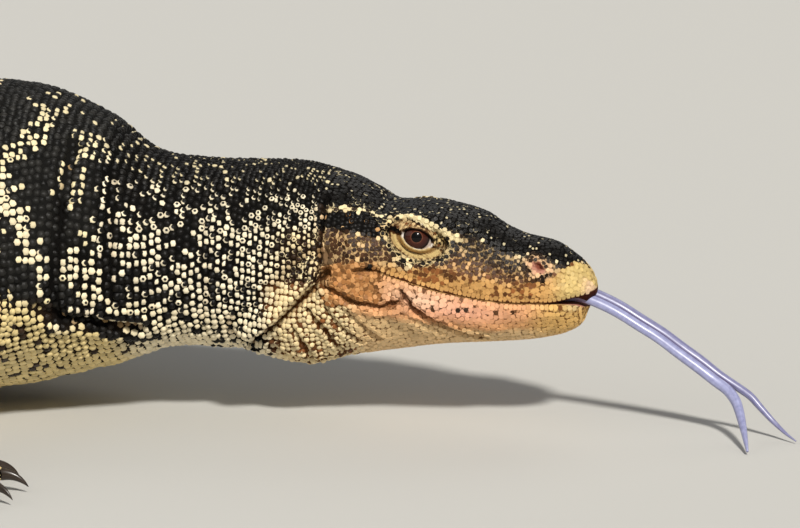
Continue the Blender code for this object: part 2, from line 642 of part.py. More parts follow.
def grown_copy(source, grow):
    """A helper shaped like another piece but a little larger all round, to cut what grows from it."""
    mesh = source.data.copy()
    count = len(mesh.vertices)
    points, normals = np.empty(count * 3), np.empty(count * 3)
    mesh.vertices.foreach_get("co", points)
    mesh.vertex_normals.foreach_get("vector", normals)
    mesh.vertices.foreach_set("co", points + normals * grow)
    made = bpy.data.objects.new("cutter", mesh)
    bpy.context.scene.collection.objects.link(made)
    return made


def main():
    for old in list(bpy.data.objects):
        bpy.data.objects.remove(old)

    head = upper_head("head")
    combine(head, [eye_lids(side) for side in (-1, 1)], "UNION")
    cuts = [eye_ball("socket", side, GAP, None) for side in (-1, 1)]
    cuts += [sloped_ball("nostril", NOSTRIL_CENTRE, NOSTRIL_SIZE, NOSTRIL_SLOPE, side) for side in (-1, 1)]
    cuts += [sloped_ball("ear", EAR_CENTRE, EAR_SIZE, EAR_SLOPE, side) for side in (-1, 1)]
    cuts.append(tongue("tongue channel", GAP, None))
    combine(head, cuts, "DIFFERENCE")
    jaw = lower_jaw("lower_jaw")
    combine(jaw, [tongue("tongue channel", GAP, None)], "DIFFERENCE")
    tongue("tongue")
    for side, side_name in ((-1, "right"), (1, "left")):
        eye_ball(f"eye_{side_name}", side)

    body_length("neck", HEAD_END, NECK_END, 8, TRUNK_COLUMNS)
    chest = body_length("chest", NECK_END, CHEST_END, 14, TRUNK_COLUMNS)
    body_length("belly", CHEST_END, BELLY_END, 8, TRUNK_COLUMNS)
    pelvis = body_length("pelvis", BELLY_END, PELVIS_END, 11, TRUNK_COLUMNS)
    for number, (start, end) in enumerate(zip(TAIL_CUTS[:-1], TAIL_CUTS[1:]), 1):
        body_length(f"tail_{number}", start, end, 10, TAIL_COLUMNS)

    for limb_name, limb in LIMBS.items():
        build_limb(limb_name, limb, grown_copy(chest if limb["front"] else pelvis, GAP * 1.2))


if __name__ == "__main__":
    main()
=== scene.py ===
"""A life-size still model of a water monitor lizard: skin, scales, eyes, tongue and claws over the solids.

Distances are in metres. "Along" is the distance back from the snout tip down the middle of the body. A turn
is the angle round the body from the midline of the back, positive to the animal's left.
"""

import logging
import math
from dataclasses import dataclass, field, fields
from enum import Enum
from typing import Callable, Iterator, Sequence

import bmesh
import bpy
import numpy as np
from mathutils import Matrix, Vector


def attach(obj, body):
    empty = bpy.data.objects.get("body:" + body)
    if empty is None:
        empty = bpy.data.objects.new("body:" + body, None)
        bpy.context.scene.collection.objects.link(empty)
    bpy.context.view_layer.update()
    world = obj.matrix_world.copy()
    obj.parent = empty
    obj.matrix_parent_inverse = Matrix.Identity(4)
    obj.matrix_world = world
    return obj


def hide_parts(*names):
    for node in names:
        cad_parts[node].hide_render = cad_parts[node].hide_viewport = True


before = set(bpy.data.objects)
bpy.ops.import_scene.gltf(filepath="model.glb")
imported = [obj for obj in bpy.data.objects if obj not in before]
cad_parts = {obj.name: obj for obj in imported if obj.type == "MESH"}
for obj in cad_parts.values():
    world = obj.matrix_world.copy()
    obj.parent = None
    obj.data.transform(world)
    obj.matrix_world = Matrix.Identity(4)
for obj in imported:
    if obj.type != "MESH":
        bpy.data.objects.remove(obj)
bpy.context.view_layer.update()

log = logging.getLogger("monitor")
Array = np.ndarray
Pairs = Sequence[tuple[float, float]]


def linear(red: float, green: float, blue: float) -> Array:
    """A screen colour of 0 to 255 as a linear colour of 0 to 1."""
    shown = np.array((red, green, blue)) / 255
    return np.where(shown <= 0.04045, shown / 12.92, ((shown + 0.055) / 1.055) ** 2.4)


def smooth(value: Array, low: float, high: float) -> Array:
    """A soft step: 0 below low, 1 above high and an S-curve between. It falls where high is under low."""
    t = np.clip((value - low) / (high - low), 0, 1)
    return t * t * (3 - 2 * t)


def bump(value: Array, centre: float, spread: float) -> Array:
    """A bell curve: e to the power of minus the square of the distance from its centre over its spread."""
    return np.exp(-(((value - centre) / spread) ** 2))


def chance(cells: Array, seed: int) -> Array:
    """A repeatable random value from 0 to 1 for each triple of whole numbers, by mixing their bits."""
    mixed = (cells[..., 0] * 73856093) ^ (cells[..., 1] * 19349663) ^ (cells[..., 2] * 83492791)
    mixed = (mixed ^ (seed * 668265263)) & 0xFFFFFFFF
    for _ in range(2):
        mixed = ((mixed ^ (mixed >> 16)) * 0x45D9F3B) & 0xFFFFFFFF
    return (mixed ^ (mixed >> 16)) / 4294967295.0


def noise(points: Array, size: float, seed: int) -> Array:
    """Smooth random values from 0 to 1 over space.

    Args:
        points: places, with their coordinates on the last axis.
        size: the width of one cell of the pattern.
        seed: picks one pattern of many.

    Returns:
        The values at a cell's eight corners, blended by an S-curve along each axis.
    """
    cell = points / size
    base = np.floor(cell).astype(np.int64)
    t = cell - base
    t = t * t * (3 - 2 * t)
    total = np.zeros(points.shape[:-1])
    for corner in range(8):
        offset = np.array([(corner >> axis) & 1 for axis in range(3)])
        weight = np.where(offset, t, 1 - t).prod(axis=-1)
        total += weight * chance(base + offset, seed)
    return total


def unit(vectors: Array) -> Array:
    """The vectors at length one."""
    return vectors / np.maximum(np.linalg.norm(vectors, axis=-1, keepdims=True), 1e-12)


def mixed(first: Array, second: Array, share: Array) -> Array:
    """Colours between two, by a share of the second."""
    share = np.asarray(share)[..., None]
    return first * (1 - share) + second * share


def from_back(turn: Array) -> Array:
    """Degrees from the midline of the back, from 0 to 180 on either side."""
    return np.abs(np.degrees(np.arctan2(np.sin(turn), np.cos(turn))))


def running(points: Array) -> Array:
    """How far along a path each of its points lies."""
    return np.concatenate([[0], np.cumsum(np.linalg.norm(np.diff(points, axis=0), axis=1))])


def read(table: Array, places: Array, wanted: Array) -> Array:
    """The rows of a table that stand at some places, read at other places."""
    return np.stack([np.interp(wanted, places, table[:, k]) for k in range(3)], axis=-1)


class Curve:
    """A smooth curve through (place, value) pairs that never overshoots them."""

    def __init__(self, pairs: Pairs) -> None:
        """Works out the slope at each pair: the harmonic mean of its neighbours', or 0 at a turning point."""
        self.place, self.value = np.array(pairs, float).T
        self.step = np.diff(self.place)
        slope = np.diff(self.value) / self.step
        total = slope[:-1] + slope[1:]
        same_way = slope[:-1] * slope[1:] > 0
        inner = np.where(same_way, 2 * slope[:-1] * slope[1:] / np.where(same_way, total, 1), 0)
        self.slope = np.concatenate([slope[:1], inner, slope[-1:]])

    def __call__(self, x: Array | float) -> Array:
        """The curve's value at x, by the cubic that meets both ends of its stretch in value and slope."""
        x = np.clip(np.asarray(x, float), self.place[0], self.place[-1])
        i = np.clip(np.searchsorted(self.place, x, side="right") - 1, 0, len(self.step) - 1)
        t = (x - self.place[i]) / self.step[i]
        rise = (3 - 2 * t) * t**2
        bow = self.slope[i] * t * (1 - t) ** 2 - self.slope[i + 1] * t**2 * (1 - t)
        return self.value[i] * (1 - rise) + self.value[i + 1] * rise + self.step[i] * bow


class Part(Enum):
    """The parts of the animal that are coloured in their own ways."""

    BODY = "body"
    FRONT_LIMB = "front limb"
    HIND_LIMB = "hind limb"
    TOE = "toe"


@dataclass(frozen=True)
class Swelling:
    """A rounded swelling of the body on both sides, or a hollow where its height is negative."""

    along: float
    degrees: float
    length: float
    spread: float
    height: float

    def at(self, along: Array, degrees: Array) -> Array:
        """Its height: a bell curve along the body times one round it."""
        return self.height * bump(along, self.along, self.length) * bump(degrees, self.degrees, self.spread)


@dataclass(frozen=True)
class Crease:
    """A fold of skin along a line on both sides of the body: a groove with a raised lip on each side."""

    line: tuple[tuple[float, float], ...]
    depth: float
    width: float
    lip_away: float = 1.7
    lip_share: float = 0.4

    def at(self, along: Array, degrees: Array, radius: Array) -> Array:
        """The fold's height at each place.

        Args:
            along: distances along the body.
            degrees: degrees from the midline of the back.
            radius: the body's rough radius there, which turns degrees into metres.

        Returns:
            Minus the depth times a bell curve of the distance from the line, plus a lip a few widths away.
        """
        nearest = np.full(np.shape(along), np.inf)
        for (a0, d0), (a1, d1) in zip(self.line[:-1], self.line[1:]):
            x, y = along - a0, np.radians(degrees - d0) * radius
            run, rise = a1 - a0, np.radians(d1 - d0) * radius
            t = np.clip((x * run + y * rise) / np.maximum(run**2 + rise**2, 1e-12), 0, 1)
            nearest = np.minimum(nearest, np.hypot(x - t * run, y - t * rise))
        lip = self.lip_share * bump(nearest, self.lip_away * self.width, self.width)
        return self.depth * (lip - bump(nearest, 0, self.width))


@dataclass
class Body:
    """The head, trunk and tail as one surface of two parameters, with the sizes that the solids have."""

    mouth_corner: float = 0.0957
    head_end: float = 0.128
    tip: float = 1.915
    origin_along: float = 0.500
    gap: float = 0.0003
    heading: Pairs = (
        (0.00, -13.0), (0.13, -13.0), (0.22, -8.0), (0.34, 0.0), (0.55, 2.0), (0.75, -9.0),
        (1.00, -24.0), (1.25, -10.0), (1.55, 26.0), (1.92, 58.0),
    )
    half_width: Pairs = (
        (0.0, 0.0012), (0.0012, 0.0056), (0.0035, 0.0088), (0.009, 0.0128), (0.021, 0.0170), (0.046, 0.0222),
        (0.077, 0.0285), (0.104, 0.0345), (0.128, 0.0370), (0.160, 0.0415), (0.196, 0.0490), (0.222, 0.0590),
        (0.262, 0.0700), (0.300, 0.0780), (0.340, 0.0830), (0.480, 0.0940), (0.600, 0.0910), (0.700, 0.0740),
        (0.800, 0.0490), (0.900, 0.0370), (1.200, 0.0225), (1.600, 0.0110), (1.880, 0.0035), (1.915, 0.0008),
    )
    back_line: Pairs = (
        (0.0, 0.0655), (0.0012, 0.0688), (0.0035, 0.0733), (0.0105, 0.0797), (0.020, 0.0851), (0.034, 0.0878),
        (0.043, 0.0913), (0.053, 0.0970), (0.066, 0.0997), (0.094, 0.1001), (0.104, 0.1054), (0.118, 0.1116),
        (0.142, 0.1156), (0.168, 0.1154), (0.196, 0.1165), (0.207, 0.1190), (0.228, 0.1345), (0.262, 0.1480),
        (0.290, 0.1505), (0.360, 0.1480), (0.480, 0.1390), (0.600, 0.1310), (0.700, 0.1160), (0.800, 0.0930),
        (0.950, 0.0720), (1.250, 0.0510), (1.600, 0.0300), (1.860, 0.0100), (1.915, 0.0028),
    )
    side_line: Pairs = (
        (0.0, 0.0640), (0.0012, 0.0632), (0.007, 0.0621), (0.020, 0.0596), (0.032, 0.0601), (0.046, 0.0620),
        (0.067, 0.0674), (0.077, 0.0715), (0.0855, 0.0741), (0.097, 0.0744), (0.128, 0.0705), (0.196, 0.0690),
        (0.262, 0.0730), (0.400, 0.0580), (0.640, 0.0520), (0.800, 0.0440), (1.000, 0.0330), (1.600, 0.0130),
        (1.860, 0.0045), (1.915, 0.0018),
    )
    under_line: Pairs = (
        (0.0, 0.0628), (0.0012, 0.0616), (0.0035, 0.0545), (0.0070, 0.0472), (0.0175, 0.0420),
        (0.034, 0.0389), (0.070, 0.0356), (0.100, 0.0305), (0.118, 0.0280), (0.140, 0.0251),
        (0.152, 0.0281), (0.182, 0.0299), (0.196, 0.0292), (0.208, 0.0255), (0.225, 0.0200),
        (0.262, 0.0110), (0.340, 0.0010), (0.400, -0.0020), (0.640, -0.0020), (0.720, 0.0020),
        (0.800, 0.0050), (0.900, -0.0006), (1.600, -0.0004), (1.880, 0.0002), (1.915, 0.0006),
    )
    upper_power: Pairs = (
        (0.0, 2.0), (0.020, 2.3), (0.046, 2.5), (0.080, 2.75), (0.110, 2.5), (0.150, 2.1), (0.300, 2.15),
        (0.600, 2.2), (0.800, 2.1), (1.915, 2.0),
    )
    lower_power: Pairs = (
        (0.0, 2.0), (0.030, 2.2), (0.100, 2.3), (0.150, 2.1), (0.250, 2.2), (0.450, 2.7), (0.700, 2.5),
        (0.850, 2.2), (1.915, 2.2),
    )
    lip_sag: Pairs = (
        (0.0, 0.0), (0.021, 0.3), (0.0361, 2.0), (0.0497, 3.0), (0.0740, 4.0), (0.0849, 3.8),
        (0.0957, 0.0), (0.12, 0.0),
    )
    mouth_opening: Pairs = ((0.0, 0.0068), (0.004, 0.0052), (0.0095, 0.0028), (0.016, 0.0008), (0.022, 0.0))
    coat_depth: Pairs = (
        (0.0, 0.0004), (0.100, 0.0005), (0.135, 0.0009), (0.250, 0.0009), (0.290, 0.0012),
        (0.340, 0.0009), (1.0, 0.0009), (1.915, 0.0003),
    )
    floor_clearance: float = 0.0011
    lip_roll: float = 0.0008
    lip_roll_spread: float = 3.5
    keel_height: float = 0.0034
    keel_spread: float = 9.0
    keel_start: float = 0.860
    keel_full: float = 0.960
    keel_fade: float = 0.2
    wrinkle_size: float = 0.0075
    wrinkle_depth: float = 0.0012
    throat_wrinkle_depth: float = 0.0014
    thin_width: float = 0.010
    limb_reach: float = 0.12
    spine_points: int = 2400
    swellings: tuple[Swelling, ...] = (
        Swelling(0.0770, 33.0, 0.0120, 9.0, 0.0026),
        Swelling(0.0560, 36.0, 0.0090, 9.0, 0.0016),
        Swelling(0.0775, 60.0, 0.0080, 13.0, -0.0022),
        Swelling(0.0530, 62.0, 0.0100, 14.0, -0.0016),
        Swelling(0.0240, 50.0, 0.0060, 16.0, 0.0014),
        Swelling(0.0140, 80.0, 0.0120, 8.0, 0.0008),
        Swelling(0.0600, 82.0, 0.0260, 6.0, 0.0010),
        Swelling(0.0450, 104.0, 0.0300, 11.0, 0.0012),
        Swelling(0.0860, 112.0, 0.0160, 14.0, 0.0026),
        Swelling(0.1080, 88.0, 0.0120, 24.0, 0.0024),
        Swelling(0.1020, 52.0, 0.0130, 14.0, 0.0014),
        Swelling(0.1360, 150.0, 0.0170, 26.0, 0.0022),
        Swelling(0.1450, 22.0, 0.0280, 20.0, 0.0012),
        Swelling(0.2660, 82.0, 0.0260, 26.0, 0.0070),
        Swelling(0.3300, 96.0, 0.0220, 22.0, -0.0030),
        Swelling(0.7120, 80.0, 0.0380, 26.0, 0.0060),
    )
    creases: tuple[Crease, ...] = (
        Crease(((0.1180, 95), (0.1140, 98), (0.1039, 106), (0.0927, 110), (0.0835, 106)), 0.0028, 0.0013),
        Crease(
            ((0.0835, 101), (0.0813, 104), (0.0791, 109), (0.0717, 116), (0.0635, 128), (0.0570, 135),
             (0.0490, 142)), 0.0036, 0.0015,
        ),
        Crease(((0.0780, 99), (0.0700, 106), (0.0600, 114), (0.0450, 122)), -0.0016, 0.0060),
        Crease(((0.0860, 115), (0.0780, 126), (0.0680, 138)), -0.0014, 0.0030),
        Crease(((0.0940, 91), (0.0997, 90), (0.1049, 90)), 0.0020, 0.0008),
        Crease(
            ((0.0880, 36), (0.0820, 36), (0.0770, 39), (0.0720, 43), (0.0660, 47), (0.0600, 50)),
            -0.0010, 0.0018,
        ),
        Crease(((0.117, 89), (0.1264, 99), (0.1338, 109), (0.1488, 128), (0.1560, 150)), 0.0042, 0.0018),
        Crease(((0.1240, 88), (0.1330, 98), (0.1410, 109), (0.1560, 128)), -0.0040, 0.0042),
        Crease(((0.1262, 109), (0.119, 125), (0.1138, 146), (0.112, 165)), 0.0022, 0.0013),
        Crease(((0.1190, 106), (0.1130, 120), (0.1040, 140)), 0.0016, 0.0013),
        Crease(((0.1460, 138), (0.1340, 148), (0.1180, 158)), 0.0020, 0.0016),
        Crease(((0.1080, 112), (0.1020, 124), (0.0960, 140)), 0.0012, 0.0014),
        Crease(((0.1330, 122), (0.1290, 136), (0.1260, 160)), 0.0018, 0.0014),
        Crease(((0.1190, 36), (0.1200, 58), (0.1206, 77), (0.1195, 92)), 0.0018, 0.0014),
        Crease(((0.1100, 64), (0.1085, 74), (0.1095, 84)), 0.0008, 0.0012),
        Crease(((0.0930, 52), (0.0885, 60), (0.0880, 68)), 0.0014, 0.0011),
        Crease(((0.2060, 122), (0.2238, 113), (0.2378, 107), (0.2480, 100)), 0.0050, 0.0034),
        Crease(((0.2358, 34), (0.2386, 62), (0.2400, 84), (0.2400, 106)), 0.0030, 0.0034),
        Crease(((0.2180, 40), (0.2150, 70), (0.2170, 100)), 0.0015, 0.0030),
        Crease(((0.1740, 60), (0.1720, 90), (0.1760, 130)), 0.0009, 0.0024),
        Crease(((0.3000, 108), (0.3400, 104), (0.4200, 112), (0.5200, 118), (0.6200, 112)), 0.0032, 0.0050),
        Crease(((0.3300, 84), (0.4300, 92), (0.5400, 96), (0.6300, 88)), 0.0020, 0.0060),
        Crease(((0.6500, 100), (0.6700, 84), (0.6760, 62)), 0.0030, 0.0042),
        Crease(((0.7600, 62), (0.7660, 84), (0.7600, 108)), 0.0030, 0.0040),
    )
    blends: list["Limb"] = field(default_factory=list)

    def __post_init__(self) -> None:
        """Makes the curves, and the middle of the body by adding up short steps the way it faces."""
        self.heading_at = Curve(self.heading)
        self.width_at = Curve(self.half_width)
        self.back_at = Curve(self.back_line)
        self.side_at = Curve(self.side_line)
        self.under_at = Curve(self.under_line)
        self.upper_power_at = Curve(self.upper_power)
        self.lower_power_at = Curve(self.lower_power)
        self.opening_at = Curve(self.mouth_opening)
        self.sag_at = Curve(self.lip_sag)
        self.depth_at = Curve(self.coat_depth)
        self.spine_along = np.linspace(0.0, self.tip, self.spine_points)
        turn = np.radians(self.heading_at(self.spine_along))
        step = self.spine_along[1]
        x, y = -np.cumsum(np.cos(turn)) * step, -np.cumsum(np.sin(turn)) * step
        self.spine_x = x - np.interp(self.origin_along, self.spine_along, x)
        self.spine_y = y - np.interp(self.origin_along, self.spine_along, y)

    def place(self, along: Array | float, left: Array | float, height: Array | float) -> Array:
        """World points from a distance along the body, a distance to the left of its middle, and a height."""
        turn = np.radians(self.heading_at(along))
        x = np.interp(along, self.spine_along, self.spine_x) - np.sin(turn) * left
        y = np.interp(along, self.spine_along, self.spine_y) + np.cos(turn) * left
        return np.stack(np.broadcast_arrays(x, y, height), axis=-1)

    def axes(self, along: float, side: int) -> tuple[Array, Array]:
        """The level directions to the snout and outwards on one side, at a place along the body."""
        turn = math.radians(float(self.heading_at(along)))
        ahead, left = (math.cos(turn), math.sin(turn), 0.0), (-math.sin(turn), math.cos(turn), 0.0)
        return np.array(ahead), np.array(left) * side

    def radius_at(self, along: Array) -> Array:
        """The body's rough radius: the mean of its half width and its half height."""
        return (self.width_at(along) + (self.back_at(along) - self.under_at(along)) / 2) / 2

    def relief(self, along: Array, degrees: Array) -> Array:
        """The height of the swellings, the rolled lips and the keel of the tail, as the solids have them."""
        height = sum(swelling.at(along, degrees) for swelling in self.swellings)
        on_head = np.clip((self.head_end - along) / (self.head_end - self.mouth_corner), 0, 1)
        lip = bump(degrees, 90 + self.sag_at(along), self.lip_roll_spread)
        height = height - self.lip_roll * on_head * lip
        keel = np.clip((along - self.keel_start) / (self.keel_full - self.keel_start), 0, 1)
        keel = keel * np.clip((self.tip - along) / self.keel_fade, 0, 1)
        return height + self.keel_height * keel * bump(degrees, 0, self.keel_spread)

    def folds(self, along: Array, degrees: Array) -> Array:
        """The height of the creases and of fine wrinkles, which only the skin has."""
        radius = self.radius_at(along)
        height = np.zeros(along.shape)
        for crease in self.creases:
            low = min(a for a, _ in crease.line) - 4 * crease.width
            high = max(a for a, _ in crease.line) + 4 * crease.width
            near = (along > low) & (along < high)
            if near.any():
                height[near] += crease.at(along[near], degrees[near], radius[near])
        grain = np.stack([along * 1.0, np.radians(degrees) * radius * 0.35, np.zeros_like(along)], axis=-1)
        soft = smooth(along, 0.105, 0.130) * smooth(along, 1.0, 0.8) * smooth(degrees, 20, 50)
        wrinkle = noise(grain, self.wrinkle_size, 5) - 0.5
        throat = smooth(along, 0.085, 0.100) * smooth(along, 0.165, 0.150) * smooth(degrees, 100, 112)
        return height + (self.wrinkle_depth * soft + self.throat_wrinkle_depth * throat) * wrinkle

    def surface(self, along: Array | float, turn: Array | float) -> Array:
        """Points of the skin.

        Args:
            along: distances along the body.
            turn: angles round it in radians.

        Returns:
            Points where the width and height follow a superellipse of the section's own power, moved outwards
            by the relief and folds and inwards by the depth of the coat.
        """
        along, turn = np.broadcast_arrays(np.asarray(along, float), np.asarray(turn, float))
        degrees = from_back(turn)
        up, out = np.cos(turn), np.sin(turn)
        above = up >= 0
        side, width = self.side_at(along), self.width_at(along)
        reach = np.where(above, self.back_at(along) - side, side - self.under_at(along))
        power = 2 / np.where(above, self.upper_power_at(along), self.lower_power_at(along))
        thin = np.minimum(1.0, width / self.thin_width)
        raised = thin * (self.relief(along, degrees) + self.folds(along, degrees))
        raised = raised - np.minimum(self.depth_at(along), width * 0.3)
        left = width * np.sign(out) * np.abs(out) ** power + raised * out
        height = side + reach * np.sign(up) * np.abs(up) ** power + raised * up
        points = self.place(along, left, height)
        for limb in self.blends:
            near = np.abs(along - limb.along) < self.limb_reach
            if near.any():
                swell = limb.fillet * smooth(limb.distance(points[near]), limb.fillet_reach, 0) ** 2
                outward = np.stack([left[near], height[near] - side[near]], axis=-1)
                outward = outward / np.maximum(np.linalg.norm(outward, axis=-1, keepdims=True), 1e-9)
                heading = np.radians(self.heading_at(along[near]))
                flat, rise = outward[..., 0], outward[..., 1]
                move = np.stack([-np.sin(heading) * flat, np.cos(heading) * flat, rise], axis=-1)
                points[near] += move * swell[..., None]
        points[..., 2] = np.maximum(points[..., 2], self.floor_clearance)
        return points

    def distance(self, points: Array) -> Array:
        """Rough distances from the body's surface to points near it, negative inside.

        Args:
            points: world points.

        Returns:
            The share by which a point's place in the section passes the superellipse, times its radius there.
        """
        spine = np.stack([self.spine_x, self.spine_y], axis=-1)[::12]
        flat = points.reshape(-1, 3)
        nearest = np.argmin(((flat[:, None, :2] - spine[None]) ** 2).sum(axis=-1), axis=1)
        along = self.spine_along[::12][nearest]
        heading = np.radians(self.heading_at(along))
        offset = flat[:, :2] - spine[nearest]
        left = -np.sin(heading) * offset[:, 0] + np.cos(heading) * offset[:, 1]
        rise = flat[:, 2] - self.side_at(along)
        above = rise >= 0
        below = self.side_at(along) - self.under_at(along)
        reach = np.where(above, self.back_at(along) - self.side_at(along), below)
        power = np.where(above, self.upper_power_at(along), self.lower_power_at(along))
        share = (np.abs(left / self.width_at(along)) ** power + np.abs(rise / reach) ** power) ** (1 / power)
        size = np.hypot(left, rise) / np.maximum(share, 1e-6)
        return ((share - 1) * size).reshape(points.shape[:-1])


@dataclass
class Limb:
    """One leg, from inside the body to its knuckles, with five toes."""

    name: str
    along: float
    side: int
    front: bool
    joints: tuple[tuple[float, float, float], ...]
    body: Body
    fillet: float = 0.0050
    fillet_reach: float = 0.020
    coat_depth: float = 0.0007
    floor_clearance: float = 0.0010
    toe_radius: tuple[float, float] = (0.0052, 0.0040)
    toe_height: float = 0.0062
    toe_rise: float = 0.0018
    claw_base: float = 0.0027
    claw_straight: float = 0.0012
    claw_curl: float = 52.0
    upper_muscle: float = 0.0016
    lower_muscle: float = 0.0012
    foot_round: float = 0.007
    toe_spacing: float = 0.0062
    toe_root: float = 0.006
    toe_coat_depth: float = 0.0005

    def __post_init__(self) -> None:
        """Makes the path with rounded bends, its cross-axes and its sizes, as the solids have them."""
        if self.front:
            rounding, wide = (0.030, 0.016), (0.0290, 0.0215, 0.0195, 0.0130, 0.0185)
            high = (0.0300, 0.0210, 0.0185, 0.0115, 0.0072)
            self.toes = ((-46, 0.020), (-20, 0.029), (2, 0.034), (24, 0.033), (52, 0.023))
            self.claw_length = 0.0135
        else:
            rounding, wide = (0.042, 0.026), (0.0400, 0.0275, 0.0225, 0.0140, 0.0195)
            high = (0.0390, 0.0260, 0.0215, 0.0125, 0.0078)
            self.toes = ((-34, 0.023), (-14, 0.034), (4, 0.046), (20, 0.058), (58, 0.033))
            self.claw_length = 0.0125
        corners = [self.world(*joint) for joint in self.joints]
        self.path, self.run = self.rounded(corners, rounding)
        steps = [np.linalg.norm(b - a) for a, b in zip(corners[:-1], corners[1:])]
        spans = np.concatenate([[0], np.cumsum(steps)])
        spans = spans * self.run[-1] / spans[-1]
        self.spans = spans
        places = (0.0, spans[1], spans[1] + 0.35 * (spans[2] - spans[1]), spans[2], spans[3])
        self.width_at = Curve(list(zip(places, wide)))
        self.height_at = Curve(list(zip(places, high)))
        self.ahead = unit(np.gradient(self.path, axis=0))
        self.across = unit(np.cross((0.0, 0.0, 1.0), self.ahead))
        self.over = np.cross(self.ahead, self.across)
        self.length = float(self.run[-1])
        self.knuckle = self.path[-1]
        solid_rings = max(4, round(self.length / 0.0085) + 1)
        ring = int(np.argmin(np.abs(np.linspace(0, self.length, solid_rings) - spans[2])))
        line = self.knuckle - self.at(self.path, np.array(self.length * ring / (solid_rings - 1)))
        self.foot_heading = math.atan2(line[1], line[0])

    def world(self, forward: float, outward: float, height: float) -> Array:
        """A world point from the limb's own measures: forward, outward and up from where it grows."""
        ahead, out = self.body.axes(self.along, self.side)
        return self.body.place(self.along, 0.0, 0.0) + ahead * forward + out * outward + (0, 0, height)

    @staticmethod
    def rounded(corners: list[Array], rounding: Sequence[float]) -> tuple[Array, Array]:
        """A path between corners whose inner corners are rounded by a parabola, with a point every 2 mm.

        Args:
            corners: the corners in order.
            rounding: how far before and after each inner corner its parabola starts.

        Returns:
            The points, and each one's distance along the path.
        """
        path = [corners[0]]
        for before, corner, after, room in zip(corners[:-2], corners[1:-1], corners[2:], rounding):
            start = corner + (before - corner) * min(0.48, room / np.linalg.norm(before - corner))
            end = corner + (after - corner) * min(0.48, room / np.linalg.norm(after - corner))
            t = np.linspace(0, 1, 25)[:, None]
            path.extend(start * (1 - t) ** 2 + 2 * corner * t * (1 - t) + end * t**2)
        points = np.array(path + [corners[-1]])
        lengths = running(points)
        run = np.linspace(0, lengths[-1], round(lengths[-1] / 0.002) + 1)
        return read(points, lengths, run), run

    def at(self, table: Array, run: Array) -> Array:
        """A table of the path, read at distances along it."""
        return read(table, self.run, run)

    def surface(self, run: Array | float, turn: Array | float) -> Array:
        """Points of the limb's skin.

        Args:
            run: distances along its path. Past the knuckles the foot rounds off.
            turn: angles round it from its top, in radians.

        Returns:
            Points of an ellipse across the path, with muscle and fillet added, kept above the floor.
        """
        run, turn = np.broadcast_arrays(np.asarray(run, float), np.asarray(turn, float))
        past = np.clip((run - self.length) / self.foot_round, 0, 1)
        closing = np.sqrt(np.maximum(1 - past**2, 0.0))
        inside = np.minimum(run, self.length)
        rounding = self.at(self.ahead, inside) * (past * self.foot_round)[..., None]
        centre = self.at(self.path, inside) + rounding
        width = (self.width_at(inside) - self.coat_depth) * closing
        height = (self.height_at(inside) - self.coat_depth) * closing
        elbow, wrist = self.spans[1], self.spans[2]
        muscle = self.upper_muscle * bump(run, elbow * 0.62, 0.030) * np.cos(turn) ** 2
        muscle = muscle + self.lower_muscle * bump(run, (elbow + wrist) / 2, 0.020) * np.sin(turn) ** 2
        across = self.at(self.across, inside) * ((width + muscle) * np.sin(turn))[..., None]
        over = self.at(self.over, inside) * ((height + muscle) * np.cos(turn))[..., None]
        points = centre + across + over
        near = run < self.spans[1]
        if near.any():
            swell = self.fillet * smooth(self.body.distance(points[near]), self.fillet_reach, 0) ** 2
            points[near] += unit(points[near] - centre[near]) * swell[..., None]
        points[..., 2] = np.maximum(points[..., 2], self.floor_clearance)
        return points

    def distance(self, points: Array) -> Array:
        """Rough distances from the limb's surface to points near its root, negative inside it."""
        upto = self.run < self.spans[1] * 1.1
        path, run = self.path[upto][::3], self.run[upto][::3]
        flat = points.reshape(-1, 3)
        nearest = np.argmin(((flat[:, None] - path[None]) ** 2).sum(axis=-1), axis=1)
        offset = flat - path[nearest]
        across = (offset * self.across[upto][::3][nearest]).sum(axis=-1) / self.width_at(run[nearest])
        over = (offset * self.over[upto][::3][nearest]).sum(axis=-1) / self.height_at(run[nearest])
        ahead = (offset * self.ahead[upto][::3][nearest]).sum(axis=-1)
        share = np.hypot(across, over)
        size = np.linalg.norm(offset, axis=-1) / np.maximum(share, 1e-6)
        beyond = np.maximum(np.abs(ahead) - 0.0035, 0)
        return (np.maximum(share - 1, -1) * np.minimum(size, 0.045) + beyond).reshape(points.shape[:-1])

    def toe_path(self, number: int) -> tuple[Array, Array]:
        """A toe's middle line and its flat direction.

        Args:
            number: 0 for the inner toe to 4 for the outer one.

        Returns:
            A line straight ahead from the knuckles that rises by a quarter of a sine, and its direction.
        """
        degrees, length = self.toes[number]
        turn = self.foot_heading + math.radians(degrees) * self.side
        ahead = np.array((math.cos(turn), math.sin(turn), 0.0))
        across = np.array((-math.sin(self.foot_heading), math.cos(self.foot_heading), 0.0)) * self.side
        start = self.knuckle + across * self.toe_spacing * (number - 2) - ahead * self.toe_root
        steps = np.linspace(0, 1, 40)
        line = start + ahead * (steps * (length + self.toe_root))[:, None]
        line[:, 2] = self.toe_height + self.toe_rise * np.sin(math.pi / 2 * steps)
        return line, ahead

